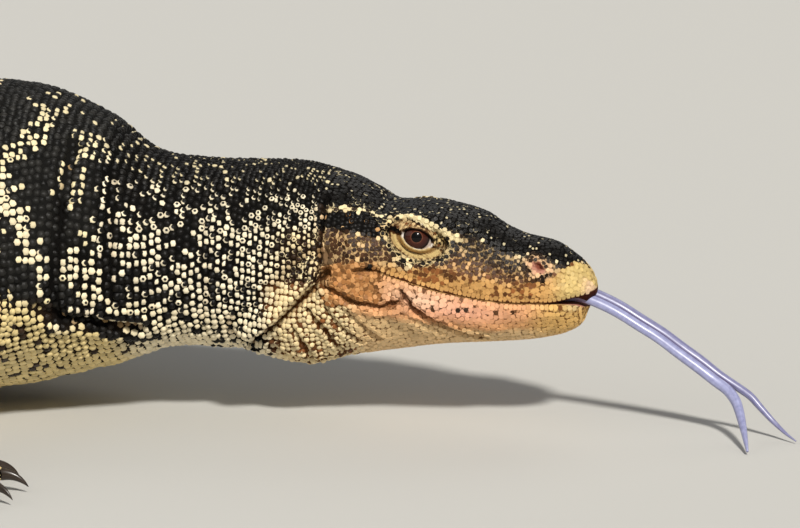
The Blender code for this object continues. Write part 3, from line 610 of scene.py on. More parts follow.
    def toe_surface(self, number: int, share: Array, turn: Array) -> Array:
        """Points of a toe's skin.

        Args:
            number: which toe.
            share: from 0 inside the foot to 1 at the claw.
            turn: angles round the toe from its top, in radians.

        Returns:
            Circles across the line whose radius tapers, swells at each joint and closes at the claw.
        """
        share, turn = np.broadcast_arrays(np.asarray(share, float), np.asarray(turn, float))
        line, ahead = self.toe_path(number)
        steps = np.linspace(0, 1, len(line))
        centre = read(line, steps, share)
        joints = 2 + (self.toes[number][1] > 0.028) + (self.toes[number][1] > 0.045)
        taper = (self.toe_radius[1] - self.toe_radius[0]) * share
        radius = self.toe_radius[0] + taper - self.toe_coat_depth
        radius = radius * (0.93 + 0.07 * np.cos(2 * math.pi * joints * share))
        radius = radius * np.sqrt(np.clip(1 - smooth(share, 0.90, 1.02) * 0.75, 0.05, 1))
        across = np.cross((0, 0, 1), ahead)
        points = centre + across * (radius * np.sin(turn))[..., None]
        points[..., 2] += radius * 0.95 * np.cos(turn)
        points[..., 2] = np.maximum(points[..., 2], self.floor_clearance * 0.7)
        return points


@dataclass
class Eye:
    """Where an eye sits, and how the skin folds into lids round it."""

    body: Body
    side: int
    along: float = 0.0794
    left: float = 0.0188
    height: float = 0.0879
    radius: float = 0.0082
    gaze_up: float = 0.18
    gaze_forward: float = 0.22
    tilt: float = 18.0
    opening_ahead: float = 0.0006
    opening_below: float = 0.0006
    half_length: float = 0.0062
    half_height_above: float = 0.0035
    half_height_below: float = 0.0042
    lid_thickness: float = 0.0013
    lid_reach: float = 0.016
    inside: float = 0.0030

    def __post_init__(self) -> None:
        """Sets the centre and the three axes: the way it looks, to its front corner, and up across it."""
        forward, outward = self.body.axes(0.07, self.side)
        self.centre = self.body.place(self.along, self.left * self.side, self.height)
        self.gaze = unit(outward + forward * self.gaze_forward + np.array((0, 0, self.gaze_up)))
        front = unit(forward - self.gaze * (forward @ self.gaze))
        above = np.cross(self.gaze, front)
        above = above * np.sign(above[2])
        lean = math.radians(self.tilt)
        self.front = front * math.cos(lean) - above * math.sin(lean)
        self.above = above * math.cos(lean) + front * math.sin(lean)

    def lidded(self, points: Array) -> Array:
        """Moves the skin round the eye along the gaze, so that it forms the lids.

        Args:
            points: points of the head's skin.

        Returns:
            The points. Inside the opening they go behind the eyeball. Round it they lie a lid's thickness
            over the ball, in two ridges below and one above, and further out they stay where they were.
        """
        offset = points - self.centre
        ahead, up, out = offset @ self.front, offset @ self.above, offset @ self.gaze
        near = (out > 0) & (np.hypot(ahead, up) < self.lid_reach)
        a, b, c = ahead[near], up[near], out[near]
        ring = self.ring(a - self.opening_ahead, b + self.opening_below)
        ball = np.sqrt(np.maximum(self.radius**2 - a**2 - b**2, 0.0))
        ball = np.maximum(ball, self.radius * 0.55 - (np.hypot(a, b) - self.radius * 0.8) * 0.7)
        below = smooth(b, -0.0010, -0.0036)
        folds = 0.85 * bump(ring, 1.85, 0.20) - 0.75 * bump(ring, 1.52, 0.09)
        ridge = bump(ring, 1.20, 0.15) + below * folds
        ridge = ridge - 0.6 * (1 - below) * bump(ring, 1.95, 0.13)
        lid = ball + self.lid_thickness * (0.35 + 0.85 * ridge)
        opening = smooth(ring, 1.07, 0.95)
        target = lid * (1 - opening) + (ball - self.inside) * opening
        share = smooth(ring, 2.5, 1.8)
        moved = c * (1 - share) + target * share
        result = points.copy()
        result[near] += (moved - c)[:, None] * self.gaze
        return result

    def ring(self, ahead: Array, up: Array) -> Array:
        """How far places lie from the middle of the opening, where 1 is its almond edge."""
        half_height = np.where(up > 0, self.half_height_above, self.half_height_below)
        return np.hypot(ahead / self.half_length, up / half_height)

    def ring_of(self, points: Array) -> tuple[Array, Array, Array]:
        """How far points lie from the middle of the opening, and how far ahead of it and above it."""
        offset = points - self.centre
        ahead, up = offset @ self.front - self.opening_ahead, offset @ self.above + self.opening_below
        return np.where(offset @ self.gaze > 0, self.ring(ahead, up), 99.0), ahead, up


@dataclass
class Pit:
    """A nostril or an ear: a sloped oval pit with a raised rim."""

    body: Body
    side: int
    along: float
    left: float
    height: float
    half_length: float
    half_height: float
    slope: float
    depth: float
    rim: float

    def __post_init__(self) -> None:
        """Sets the pit's centre and the axes along it, across it and out of it."""
        forward, self.out = self.body.axes(0.07, self.side)
        lean = math.radians(self.slope)
        self.ahead = forward * math.cos(lean) + np.array((0, 0, math.sin(lean)))
        self.over = np.array((0, 0, math.cos(lean))) - forward * math.sin(lean)
        self.centre = self.body.place(self.along, self.left * self.side, self.height)

    def ring_of(self, points: Array) -> Array:
        """How far points lie from the pit's middle, where 1 is its edge."""
        offset = points - self.centre
        ring = np.hypot(offset @ self.ahead / self.half_length, offset @ self.over / self.half_height)
        return np.where(np.abs(offset @ self.out) < 0.012, ring, 99.0)

    def sunk(self, points: Array) -> Array:
        """The points moved into the pit inside its edge, and raised on its rim."""
        ring = self.ring_of(points)
        move = self.rim * bump(ring, 1.45, 0.35) - self.depth * smooth(ring, 1.1, 0.45)
        return points + move[..., None] * self.out


NOSTRIL = {
    "along": 0.0243, "left": 0.0150, "height": 0.0758, "half_length": 0.0030, "half_height": 0.0020,
    "slope": -38.0, "depth": 0.0020, "rim": 0.0009,
}
EAR = {
    "along": 0.1170, "left": 0.0375, "height": 0.0812, "half_length": 0.0013, "half_height": 0.0040,
    "slope": 12.0, "depth": 0.0018, "rim": 0.0003,
}


@dataclass
class Head:
    """The eyes, nostrils and ears of both sides, which shape the skin of the head."""

    body: Body
    jaw_tip: float = 0.0034
    jaw_round: float = 0.0060

    def __post_init__(self) -> None:
        """Makes the eyes and the pits of both sides."""
        self.eyes = [Eye(self.body, side) for side in (-1, 1)]
        self.nostrils = [Pit(self.body, side, **NOSTRIL) for side in (-1, 1)]
        self.ears = [Pit(self.body, side, **EAR) for side in (-1, 1)]

    def shaped(self, points: Array) -> Array:
        """The points of the head's skin with lids, nostrils and ears formed."""
        for eye in self.eyes:
            points = eye.lidded(points)
        for pit in self.nostrils + self.ears:
            points = pit.sunk(points)
        return points

    def upper_lip(self, along: Array) -> Array:
        """The turn of the upper lip's edge, which hangs a few degrees below the side of the head."""
        return math.pi / 2 + np.radians(self.body.sag_at(along))

    def lip_turn(self, along: Array) -> Array:
        """The turn of the lower lip's edge, which lies below the upper one where the mouth is open."""
        body = self.body
        closing = np.clip((body.mouth_corner - along) / 0.02, 0, 1)
        drop = body.gap / 2 * closing + body.opening_at(along)
        share = np.clip(drop / (body.side_at(along) - body.under_at(along)), 0, 0.85)
        return np.arccos(-(share ** (body.lower_power_at(along) / 2))) + np.radians(body.sag_at(along))

    def beside_lip(self, along: Array, distance: float, lower: bool) -> Array:
        """Turns at a distance from the edge of a lip.

        Args:
            along: distances along the body.
            distance: how far from the edge, over the surface.
            lower: whether it is the lower lip and not the upper.

        Returns:
            The turns in radians, on the left side.
        """
        start = self.lip_turn(along) if lower else self.upper_lip(along)
        swing = np.linspace(0, 1.0, 48) * (1 if lower else -1)
        points = self.body.surface(along[:, None], start[:, None] + swing)
        steps = np.linalg.norm(np.diff(points, axis=1), axis=-1)
        run = np.concatenate([np.zeros((len(along), 1)), np.cumsum(steps, axis=1)], axis=1)
        i = np.clip((run < distance).sum(axis=1), 1, 47)
        rows = np.arange(len(along))
        t = np.clip((distance - run[rows, i - 1]) / np.maximum(run[rows, i] - run[rows, i - 1], 1e-9), 0, 1)
        return start + swing[i - 1] * (1 - t) + swing[i] * t

    def surface(self, along: Array | float, turn: Array | float) -> Array:
        """The body's skin with the forms of the head added and the tip of the lower jaw rounded off."""
        points = self.body.surface(along, turn)
        shape = points.shape
        places = np.broadcast_arrays(np.asarray(along, float), np.asarray(turn, float))
        along, turn = (array.ravel() for array in places)
        flat = points.reshape(-1, 3)
        blunt = (np.cos(turn) < -1e-6) & (along < self.jaw_tip + self.jaw_round)
        if blunt.any():
            place = along[blunt]
            share = np.clip(1 - (place - self.jaw_tip) / self.jaw_round, 0, 1)
            upper = self.body.side_at(place) - self.body.opening_at(place)
            centre = self.body.place(place, 0.0, (upper + self.body.under_at(place)) / 2)
            flat[blunt] = centre + (flat[blunt] - centre) * np.sqrt(1 - share**2)[:, None]
        on_head = along < 0.14
        if on_head.any():
            flat[on_head] = self.shaped(flat[on_head])
        return flat.reshape(shape)


@dataclass
class Rows:
    """Arrays with one row for each scale or vertex, which are picked from and joined together."""

    def chosen(self, keep: Array) -> "Rows":
        """Only the rows at the chosen places."""
        columns = (getattr(self, item.name) for item in fields(self))
        return type(self)(*(part.chosen(keep) if isinstance(part, Rows) else part[keep] for part in columns))

    @classmethod
    def joined(cls, groups: Sequence["Rows"]) -> "Rows":
        """Several groups one after another."""
        columns = ([getattr(group, item.name) for group in groups] for item in fields(cls))
        return cls(*(type(c[0]).joined(c) if isinstance(c[0], Rows) else np.concatenate(c) for c in columns))


@dataclass
class Marks(Rows):
    """What the scales at each place are painted like.

    Pale is the share of pale scales, centre that of pale scales which are open in front round a dark
    middle, and net that of dark scales with pale edges. Rim is how far a pale scale's dark rim comes in,
    plate is how flat a scale is, and slim is how thin the crescents of the open ones are.
    """

    pale: Array
    bright: Array
    dark: Array
    centre: Array
    rim: Array
    net: Array
    plate: Array
    slim: Array

    def put(
        self, share: Array, bright: Array | None = None, dark: Array | None = None, **shares: float | Array
    ) -> None:
        """Turns the pattern towards new colours or shares.

        Args:
            share: how much of the new there is at each place.
            bright: the pale scales' colour.
            dark: the dark scales' colour.
            shares: new values of the other fields, by name.
        """
        if bright is not None:
            self.bright = mixed(self.bright, bright, share)
        if dark is not None:
            self.dark = mixed(self.dark, dark, share)
        for key, value in shares.items():
            setattr(self, key, getattr(self, key) * (1 - share) + value * share)


@dataclass(frozen=True)
class Line:
    """A line of (along, degrees) pairs on both sides of the body, and the width of a band along it."""

    points: Pairs
    width: float


PLAIN = {"pale": 1.0, "rim": 0.0, "net": 0.0}
ALL_DARK = {"pale": 0.0, "net": 0.0}


@dataclass(frozen=True)
class Markings:
    """The animal's pattern, worked out for any place of its surface, so that skin and scales agree."""

    head: Head
    cream: Array = field(default_factory=lambda: linear(244, 228, 184))
    chalk: Array = field(default_factory=lambda: linear(244, 231, 201))
    sand: Array = field(default_factory=lambda: linear(234, 208, 156))
    gold: Array = field(default_factory=lambda: linear(210, 182, 118))
    yellow: Array = field(default_factory=lambda: linear(226, 182, 110))
    apricot: Array = field(default_factory=lambda: linear(222, 164, 110))
    rose: Array = field(default_factory=lambda: linear(230, 168, 136))
    ochre: Array = field(default_factory=lambda: linear(196, 142, 86))
    straw: Array = field(default_factory=lambda: linear(230, 208, 150))
    black: Array = field(default_factory=lambda: linear(15, 13, 11))
    coal: Array = field(default_factory=lambda: linear(29, 28, 26))
    brown: Array = field(default_factory=lambda: linear(44, 31, 21))
    umber: Array = field(default_factory=lambda: linear(120, 74, 38))
    nostril_rim: Array = field(default_factory=lambda: linear(206, 148, 126))
    nostril_edge: Array = field(default_factory=lambda: linear(96, 44, 34))
    nostril_pit: Array = field(default_factory=lambda: linear(138, 78, 62))
    eardrum: Array = field(default_factory=lambda: linear(150, 118, 84))
    amber: Array = field(default_factory=lambda: linear(214, 152, 76))
    eye_white: Array = field(default_factory=lambda: linear(236, 226, 216))
    pale_by_turn: Pairs = (
        (0, 0.34), (20, 0.42), (34, 0.52), (48, 0.66), (62, 0.80), (80, 0.90), (125, 0.93), (180, 0.95),
    )
    nape_gap: Line = Line(((0.215, 34), (0.198, 50), (0.181, 66), (0.175, 74)), 0.0065)
    side_gap: Line = Line(((0.226, 78), (0.207, 90), (0.198, 102)), 0.0085)
    slanting_row: Line = Line(((0.2690, 59), (0.2602, 70), (0.2534, 78), (0.2478, 84), (0.2434, 91)), 0.0085)
    front_patch: Line = Line(((0.2318, 27), (0.2340, 40), (0.2365, 59)), 0.0085)
    hind_patch: Line = Line(((0.2505, 20), (0.2530, 32), (0.2562, 40), (0.2622, 46), (0.2690, 51)), 0.0066)
    white_edge: Line = Line(
        ((0.2318, 84), (0.2258, 90), (0.2186, 98), (0.2097, 107), (0.1997, 116), (0.1817, 125)), 0.0100
    )
    # Painted shade: a black lane along the folds of the shoulder.
    shoulder_fold_shade: Line = Line(
        ((0.2386, 62), (0.2375, 73), (0.2395, 84), (0.2430, 94), (0.2366, 103), (0.2258, 114), (0.2137, 127),
         (0.2013, 139)), 0.0034,
    )
    temple_line: Line = Line(((0.0900, 33), (0.1005, 35), (0.1106, 43), (0.1148, 46), (0.1220, 48)), 0.0022)
    brow: Line = Line(
        ((0.0860, 35.5), (0.0820, 36), (0.0770, 40), (0.0720, 45), (0.0660, 49), (0.0600, 52)), 0.0019
    )
    lip_top: Pairs = (
        (0.0, -8), (0.006, 12), (0.011, 40), (0.0176, 60), (0.0260, 72), (0.0493, 79), (0.0669, 81),
        (0.0847, 85), (0.1, 88),
    )
    ring_rows: float = 0.054
    ring_columns: float = 0.036
    ring_size: float = 0.0112
    ring_shift: float = 0.006
    first_ring_row: float = 0.268
    bar_spacing: float = 0.036
    limb_spots: float = 0.0150
    toe_bands: float = 0.0105

    def blank(self, count: int) -> Marks:
        """Black scales with cream to come."""
        ones, none = np.ones(count), np.zeros(count)
        bright, dark = ones[:, None] * self.cream, ones[:, None] * self.black
        return Marks(none, bright, dark, none, ones, none, none, none)

    def band(self, line: Line, along: Array, degrees: Array) -> Array:
        """How near places are to a line, from 1 on it to 0 away from it."""
        crease = Crease(tuple(line.points), 1.0, line.width)
        return np.clip(-crease.at(along, degrees, self.head.body.radius_at(along)), 0, 1)

    def on_body(self, along: Array, turn: Array, points: Array) -> Marks:
        """The pattern of the head, trunk and tail, with painted shade in the hollows of the creases.

        Args:
            along: distances along the body.
            turn: angles round it in radians.
            points: the same places in the world.

        Returns:
            The marks of each place.
        """
        degrees = from_back(turn)
        # How deep each place lies in the hollow of a crease, which sets the painted shade below.
        deep = smooth(-self.head.body.folds(along, degrees), 0.0005, 0.0028)
        marks = self.blank(len(along))
        self.paint_trunk(marks, along, degrees, turn)
        self.paint_tail(marks, along, degrees)
        self.paint_neck(marks, along, degrees)
        self.paint_shoulder(marks, along, degrees)
        degrees = degrees - self.head.body.sag_at(along) * bump(degrees, 93, 14)
        self.paint_throat(marks, along, degrees)
        self.paint_head(marks, along, degrees)
        self.paint_face(marks, along, degrees, points)
        # Painted shade: the hollows of the creases get a darker, browner pale colour and, back from the neck,
        # fewer pale scales, for the shade that falls in the folds.
        marks.bright = mixed(marks.bright, marks.bright * np.array((0.40, 0.31, 0.24)), deep)
        marks.pale = marks.pale * (1 - 0.9 * deep * smooth(along, 0.17, 0.19) * smooth(degrees, 120, 105))
        return marks

    def paint_neck(self, marks: Marks, along: Array, degrees: Array) -> None:
        """Rows of cream beads on black, thicker towards the throat and sparse along the nape, with painted
        shade in the fold before the shoulder.
        """
        here = smooth(along, 0.106, 0.118) * smooth(along, 0.262, 0.228)
        pale = Curve(self.pale_by_turn)(degrees)
        pale = pale - 0.52 * self.band(self.nape_gap, along, degrees)
        pale = pale - 0.44 * self.band(self.side_gap, along, degrees)
        # Painted shade: almost no pale scales in the fold before the shoulder.
        pale = pale - 0.95 * bump(along, 0.2385, 0.006) * smooth(degrees, 118, 96)
        pale = pale + 0.22 * bump(along, 0.212, 0.012) * bump(degrees, 32, 18)
        marks.put(here, self.chalk, self.black, pale=pale, rim=0.92, plate=0.0)
        marks.put(here, centre=0.25 + 0.65 * smooth(degrees, 70, 50), slim=smooth(degrees, 54, 30))
        marks.put(here * smooth(degrees, 40, 24), mixed(self.cream, self.brown, 0.25))
        lower = here * smooth(degrees, 106, 122)
        marks.put(lower, mixed(self.cream, self.chalk, 0.7), rim=0.45, centre=0.08)
        fine = smooth(along, 0.150, 0.130) * smooth(degrees, 60, 68) * smooth(degrees, 100, 92)
        fine = fine * smooth(along, 0.108, 0.116)
        marks.put(fine, mixed(self.sand, self.cream, 0.6), self.brown, pale=0.80, net=0.85, centre=0.45)
        chest = smooth(along, 0.205, 0.222) * smooth(along, 0.300, 0.270) * smooth(degrees, 108, 118)
        marks.put(chest, self.straw, self.brown, pale=0.97, rim=0.35, centre=0.0)

    def paint_shoulder(self, marks: Marks, along: Array, degrees: Array) -> None:
        """Loose patches of cream beads on a black shoulder, one in a slanting row, a straw armpit, and
        painted shade in a black lane along the shoulder's folds.
        """
        here = smooth(along, 0.2215, 0.2265) * smooth(along, 0.288, 0.276) * smooth(degrees, 104, 96)
        slant = self.band(self.slanting_row, along, degrees)
        first = self.band(self.front_patch, along, degrees)
        second = self.band(self.hind_patch, along, degrees)
        patch = smooth(np.maximum(first, second), 0.25, 0.50)
        dots = 0.80 * smooth(along, 0.2350, 0.2310) * smooth(degrees, 68, 78)
        pale = 0.05 + np.clip(slant + 0.9 * patch + dots, 0, 0.95)
        marks.put(here, self.cream, self.coal, pale=pale, centre=0.2)
        marks.put(here * smooth(slant, 0.3, 0.7), mixed(self.chalk, self.cream, 0.5), rim=0.6)
        marks.put(here * smooth(degrees, 40, 20), mixed(self.cream, self.brown, 0.15))
        armpit = smooth(along, 0.240, 0.247) * smooth(along, 0.290, 0.280) * smooth(degrees, 94, 101)
        marks.put(armpit, self.straw, self.brown, pale=0.90, rim=0.5, centre=0.0)
        white = smooth(self.band(self.white_edge, along, degrees), 0.2, 0.6)
        marks.put(white, mixed(self.chalk, self.cream, 0.4), self.black, pale=0.80, rim=0.70, centre=0.25)
        # Painted shade: only black scales along the folds of the shoulder.
        lane = smooth(self.band(self.shoulder_fold_shade, along, degrees), 0.25, 0.5)
        marks.put(lane, dark=self.black, pale=0.04)

    def paint_throat(self, marks: Marks, along: Array, degrees: Array) -> None:
        """A cream-yellow throat and an apricot lower jaw, rose in the middle and yellow at its tip, with a
        painted highlight high on its bulge.
        """
        throat = smooth(along, 0.150, 0.138) * smooth(degrees, 90, 97)
        cream = mixed(self.sand, self.cream, 0.35)
        marks.put(throat, cream, self.umber, pale=0.97, rim=0.36, centre=0.02, plate=0.4)
        jaw = smooth(along, 0.112, 0.100) * smooth(degrees, 88, 91)
        under = 134 - 260 * np.maximum(along - 0.045, 0)
        lobe = jaw * smooth(degrees, under, under - 10)
        tan = mixed(self.sand, self.apricot, 0.35)
        marks.put(jaw, tan, self.umber, pale=1.0, rim=0.16, centre=0.0, plate=1.0)
        marks.put(lobe, self.apricot)
        marks.put(lobe * bump(along, 0.060, 0.028) * bump(degrees, 103, 13), self.rose)
        marks.put(jaw * smooth(along, 0.032, 0.014), self.yellow)
        marks.put(jaw * bump(along, 0.006, 0.005) * bump(degrees, 100, 10), self.cream)
        speck = bump(along, 0.060, 0.030) * bump(degrees, 102, 8) * jaw
        marks.put(speck, dark=self.brown, pale=0.965)
        # Painted highlight: a paler, pinker patch on the raised roll high on the lower jaw.
        light = bump(along, 0.077, 0.013) * bump(degrees, 99, 7) * jaw
        marks.put(light * 0.6, mixed(self.rose, self.chalk, 0.5))
        spots = bump(along, 0.018, 0.010) * bump(degrees, 122, 14) * jaw
        marks.put(spots, mixed(self.yellow, self.umber, 0.25), pale=0.92)

    def paint_head(self, marks: Marks, along: Array, degrees: Array) -> None:
        """A black cap, a pale line over a black temple, and netted cheeks."""
        head = smooth(along, 0.126, 0.116) * smooth(degrees, 92, 89)
        marks.put(head, self.cream, self.black, pale=0.10, rim=0.5, net=0.30, centre=0.0, plate=0.8)
        cap = head * smooth(degrees, 46, 38)
        fleck = mixed(self.cream, self.black, 0.35)
        marks.put(cap, fleck, self.black, pale=0.11, net=0.08, rim=1.0, plate=0.7)
        temple = head * smooth(along, 0.086, 0.092) * smooth(degrees, 43, 47) * smooth(degrees, 65, 60)
        marks.put(temple, self.ochre, self.black, pale=0.0, net=0.10, plate=0.45)
        over = head * smooth(self.band(self.temple_line, along, degrees), 0.2, 0.5)
        marks.put(over, mixed(self.cream, self.sand, 0.5), self.brown, pale=0.60, net=0.95, rim=0.35)
        above = head * smooth(along, 0.112, 0.104) * smooth(along, 0.070, 0.078) * bump(degrees, 31, 6)
        marks.put(above, self.cream, self.black, net=0.75)
        mottled = head * smooth(along, 0.082, 0.090) * smooth(degrees, 61, 66)
        tan, dusk = mixed(self.sand, self.ochre, 0.45), mixed(self.brown, self.umber, 0.15)
        marks.put(mottled, tan, dusk, pale=0.30, net=0.90, rim=0.4)
        before_eye = head * smooth(along, 0.075, 0.066) * smooth(degrees, 42, 50)
        dun, soot = mixed(self.sand, self.umber, 0.50), mixed(self.black, self.brown, 0.5)
        marks.put(before_eye, dun, soot, pale=0.05, net=0.85)
        warm = head * smooth(along, 0.078, 0.066) * smooth(degrees, 58, 74)
        honey, bark = mixed(self.sand, self.ochre, 0.75), mixed(self.brown, self.umber, 0.25)
        marks.put(warm, honey, bark, pale=0.18, net=0.90)
        cheek = smooth(along, 0.090, 0.097) * smooth(along, 0.122, 0.114)
        cheek = cheek * smooth(degrees, 84, 87) * smooth(degrees, 108, 104)
        peach, rust = mixed(self.ochre, self.apricot, 0.4), mixed(self.umber, self.ochre, 0.30)
        marks.put(cheek, peach, rust, pale=0.35, net=0.95, rim=0.3, plate=0.8)

    def paint_face(self, marks: Marks, along: Array, degrees: Array, points: Array) -> None:
        """Yellow lips and a yellow snout tip, the marks round the eyes, nostrils and ears, and painted shade
        at the corner of the mouth.
        """
        head = smooth(along, 0.126, 0.116) * smooth(degrees, 92, 89)
        edge = Curve(self.lip_top)(along) + 9 * (noise(points, 0.006, 21) - 0.5)
        lip = smooth(along, 0.100, 0.088) * smooth(degrees, 92, 90) * smooth(degrees - edge, -4.0, 2.5)
        blotch = smooth(noise(points, 0.0065, 23), 0.42, 0.62) * smooth(along, 0.020, 0.034)
        tan = mixed(self.yellow, self.ochre, 0.60)
        marks.put(lip, tan, self.umber, pale=1.0 - 0.65 * blotch, net=0.9, rim=0.18, plate=1.0)
        marks.put(lip * smooth(along, 0.022, 0.010), self.gold, pale=1.0, rim=0.04)
        tip = lip * bump(along, 0.002, 0.003) * smooth(degrees, 40, 60)
        marks.put(tip, mixed(self.cream, self.rose, 0.5))
        marks.put(bump(along, 0.0224, 0.0024) * bump(degrees, 71, 5), dark=self.black, **ALL_DARK)
        for eye in self.head.eyes:
            self.paint_lids(marks, head, *eye.ring_of(points))
        brow = head * smooth(self.band(self.brow, along, degrees), 0.25, 0.6)
        marks.put(brow, mixed(self.cream, self.gold, 0.25), self.brown, **PLAIN)
        for nostril in self.head.nostrils:
            ring = nostril.ring_of(points)
            skin = mixed(self.sand, self.rose, 0.5)
            marks.put(smooth(ring, 3.0, 1.8), skin, self.brown, pale=0.35, net=0.95, rim=0.2)
            marks.put(smooth(ring, 1.35, 1.10), self.nostril_rim, self.nostril_edge, **PLAIN)
            marks.put(smooth(ring, 0.80, 0.45), self.nostril_pit)
        for ear in self.head.ears:
            marks.put(smooth(ear.ring_of(points), 1.5, 1.1), self.umber, self.eardrum, **ALL_DARK)
        # Painted shade: a dark spot in the corner of the mouth.
        corner = bump(along, 0.0982, 0.0024) * bump(degrees, 88.5, 2.0)
        marks.put(smooth(corner, 0.3, 0.6), self.brown, self.black, **ALL_DARK)

    def paint_lids(self, marks: Marks, head: Array, ring: Array, ahead: Array, up: Array) -> None:
        """A dark edge and a tan upper lid, a yellow lower one with a brown furrow, and white corners.

        Args:
            marks: the pattern to paint on.
            head: the share of each place that is on the side or the top of the head.
            ring: how far places are from the middle of the eye's opening, where 1 is its edge.
            ahead: how far ahead of it they are.
            up: how far above it.
        """
        head = head * (ring < 10)
        marks.put(head * smooth(ring, 3.2, 2.4), self.sand, self.black, pale=0.08, net=0.85, rim=0.3)
        upper = head * (smooth(ring, 2.3, 2.0) * smooth(up, -0.0012, 0.0008))
        tan, dusk = mixed(self.sand, self.ochre, 0.30), mixed(self.umber, self.brown, 0.4)
        marks.put(upper, tan, dusk, pale=0.45, net=0.9, rim=0.30)
        front = smooth(bump(ahead, 0.0095, 0.0038) * bump(up, 0.0030, 0.0030), 0.3, 0.7)
        marks.put(head * front, mixed(self.gold, self.sand, 0.5), self.brown, pale=0.80, net=0.8)
        furrow = smooth(np.abs(up + 0.10 * ahead - 0.0068), 0.0015, 0.0007)
        furrow = furrow * smooth(np.abs(ahead + 0.0010), 0.0048, 0.0036)
        marks.put(head * furrow, self.brown, self.brown, **ALL_DARK)
        behind = bump(ahead, -0.0108, 0.0030) * bump(up, -0.0004, 0.0024)
        marks.put(head * smooth(behind, 0.25, 0.55), self.brown, self.black, pale=0.0, net=0.1)
        lower = smooth(ring, 2.15, 1.98) * smooth(up, -0.0002, -0.0022)
        marks.put(lower, mixed(self.gold, self.sand, 0.25), self.umber, **PLAIN)
        marks.put(lower * bump(ring, 1.34, 0.10) * 0.7, self.amber)
        folds = np.clip(bump(ring, 1.53, 0.06) + 0.6 * bump(ring, 2.05, 0.06), 0, 1)
        marks.put(lower * folds, self.umber)
        marks.put(smooth(ring, 1.08, 1.03) * smooth(up, 0.0006, -0.0008), self.eye_white, **PLAIN)
        corner = smooth(np.abs(ahead), 0.0050, 0.0060) * smooth(np.abs(up + 0.0004), 0.0020, 0.0008)
        marks.put(corner * (ring < 10) * smooth(ring, 1.30, 1.15), self.eye_white, **PLAIN)
        edge = smooth(ring, 1.30, 1.20) * smooth(up, 0.0004, 0.0014)
        marks.put(edge, self.black, self.black, **ALL_DARK)

    def paint_trunk(self, marks: Marks, along: Array, degrees: Array, turn: Array) -> None:
        """Black with rows of cream rings across the back, loose specks and a barred yellow belly."""
        around = np.arctan2(np.sin(turn), np.cos(turn)) * self.head.body.radius_at(along)
        row = (along - self.first_ring_row) / self.ring_rows
        number = np.round(row)
        column = around / self.ring_columns + 0.5 * (number % 2)
        cell = np.stack([number, np.round(column), np.zeros_like(number)], axis=-1).astype(np.int64)
        x = (row - number) * self.ring_rows + self.ring_shift * (chance(cell, 3) - 0.5)
        y = (column - np.round(column)) * self.ring_columns + self.ring_shift * (chance(cell, 4) - 0.5)
        size = self.ring_size * (0.8 + 0.4 * chance(cell, 6))
        reach = np.hypot(x / 0.9, y) / size
        ring = smooth(reach, 1.25, 0.95) * (0.30 + 0.70 * smooth(reach, 0.30, 0.60))
        limit = smooth(degrees, 122, 108) * smooth(along, 0.232, 0.262) * smooth(along, 0.81, 0.77)
        here = smooth(along, 0.225, 0.262)
        marks.put(here, self.cream, self.coal, pale=0.10, rim=0.92)
        marks.put(here * limit * ring, mixed(self.cream, self.sand, 0.3), pale=0.92)
        wave = np.cos(2 * math.pi * along / self.bar_spacing + 1.3 * np.sin(along * 70))
        bars = smooth(wave, 0.35, 0.75) * smooth(degrees, 165, 128)
        belly = here * smooth(degrees, 112, 128)
        butter = mixed(self.straw, self.cream, 0.4)
        marks.put(belly, butter, self.black, pale=0.97 - 0.90 * bars, rim=0.3, plate=0.7)

    def paint_tail(self, marks: Marks, along: Array, degrees: Array) -> None:
        """Black with yellow bands, which start as rows of spots and close up towards the tip."""
        tail = smooth(along, 0.79, 0.83)
        period = 0.060 - 0.016 * smooth(along, 0.9, 1.8)
        wave = np.cos(2 * math.pi * (along - 0.80) / period + 0.25 * np.sin(np.radians(degrees) * 6))
        band = smooth(wave, 0.25, 0.62)
        gaps = 0.55 * smooth(along, 0.98, 0.84) * smooth(np.cos(np.radians(degrees) * 9), -0.2, -0.6)
        band = band * (1 - gaps)
        marks.put(tail, self.straw, self.coal, pale=0.04 + 0.92 * band, rim=0.5, plate=0.4)
        under = tail * smooth(degrees, 130, 155)
        marks.put(under, mixed(self.straw, self.cream, 0.3), pale=0.35 + 0.60 * band)

    def on_limb(self, part: Part, run: Array, turn: Array, length: float) -> Marks:
        """The pattern of a leg or a toe: black with small yellow spots, paler below.

        Args:
            part: which part it is.
            run: distances down the limb.
            turn: angles round it from its top, in radians.
            length: the limb's whole length.

        Returns:
            The marks of each place.
        """
        marks, everywhere = self.blank(len(run)), np.ones(len(run))
        degrees = from_back(turn)
        if part is Part.TOE:
            bands = smooth(np.cos(2 * math.pi * run / self.toe_bands), 0.45, 0.8)
            marks.put(everywhere, self.straw, self.black, pale=0.08 + 0.50 * bands, rim=0.5, plate=0.8)
            marks.put(smooth(degrees, 105, 140), self.straw, self.brown, pale=0.75)
            return marks
        down, around = run / self.limb_spots, turn * 0.020 / self.limb_spots
        cell = np.stack([np.round(down), np.round(around), np.zeros_like(run)], axis=-1).astype(np.int64)
        x = down - cell[:, 0] + 0.35 * (chance(cell, 11) - 0.5)
        y = around - cell[:, 1] + 0.35 * (chance(cell, 12) - 0.5)
        spot = smooth(np.hypot(x, y), 0.38, 0.26)
        pale = (0.08 if part is Part.HIND_LIMB else 0.12) + 0.85 * spot
        marks.put(everywhere, mixed(self.straw, self.cream, 0.4), self.coal, pale=pale, rim=0.7)
        if part is Part.FRONT_LIMB:
            upper = smooth(run, length * 0.55, length * 0.25)
            marks.put(upper * smooth(degrees, 60, 100), self.straw, self.brown, pale=0.85, rim=0.4)
        marks.put(smooth(degrees, 115, 150), self.straw, self.brown, pale=0.88, rim=0.4)
        return marks


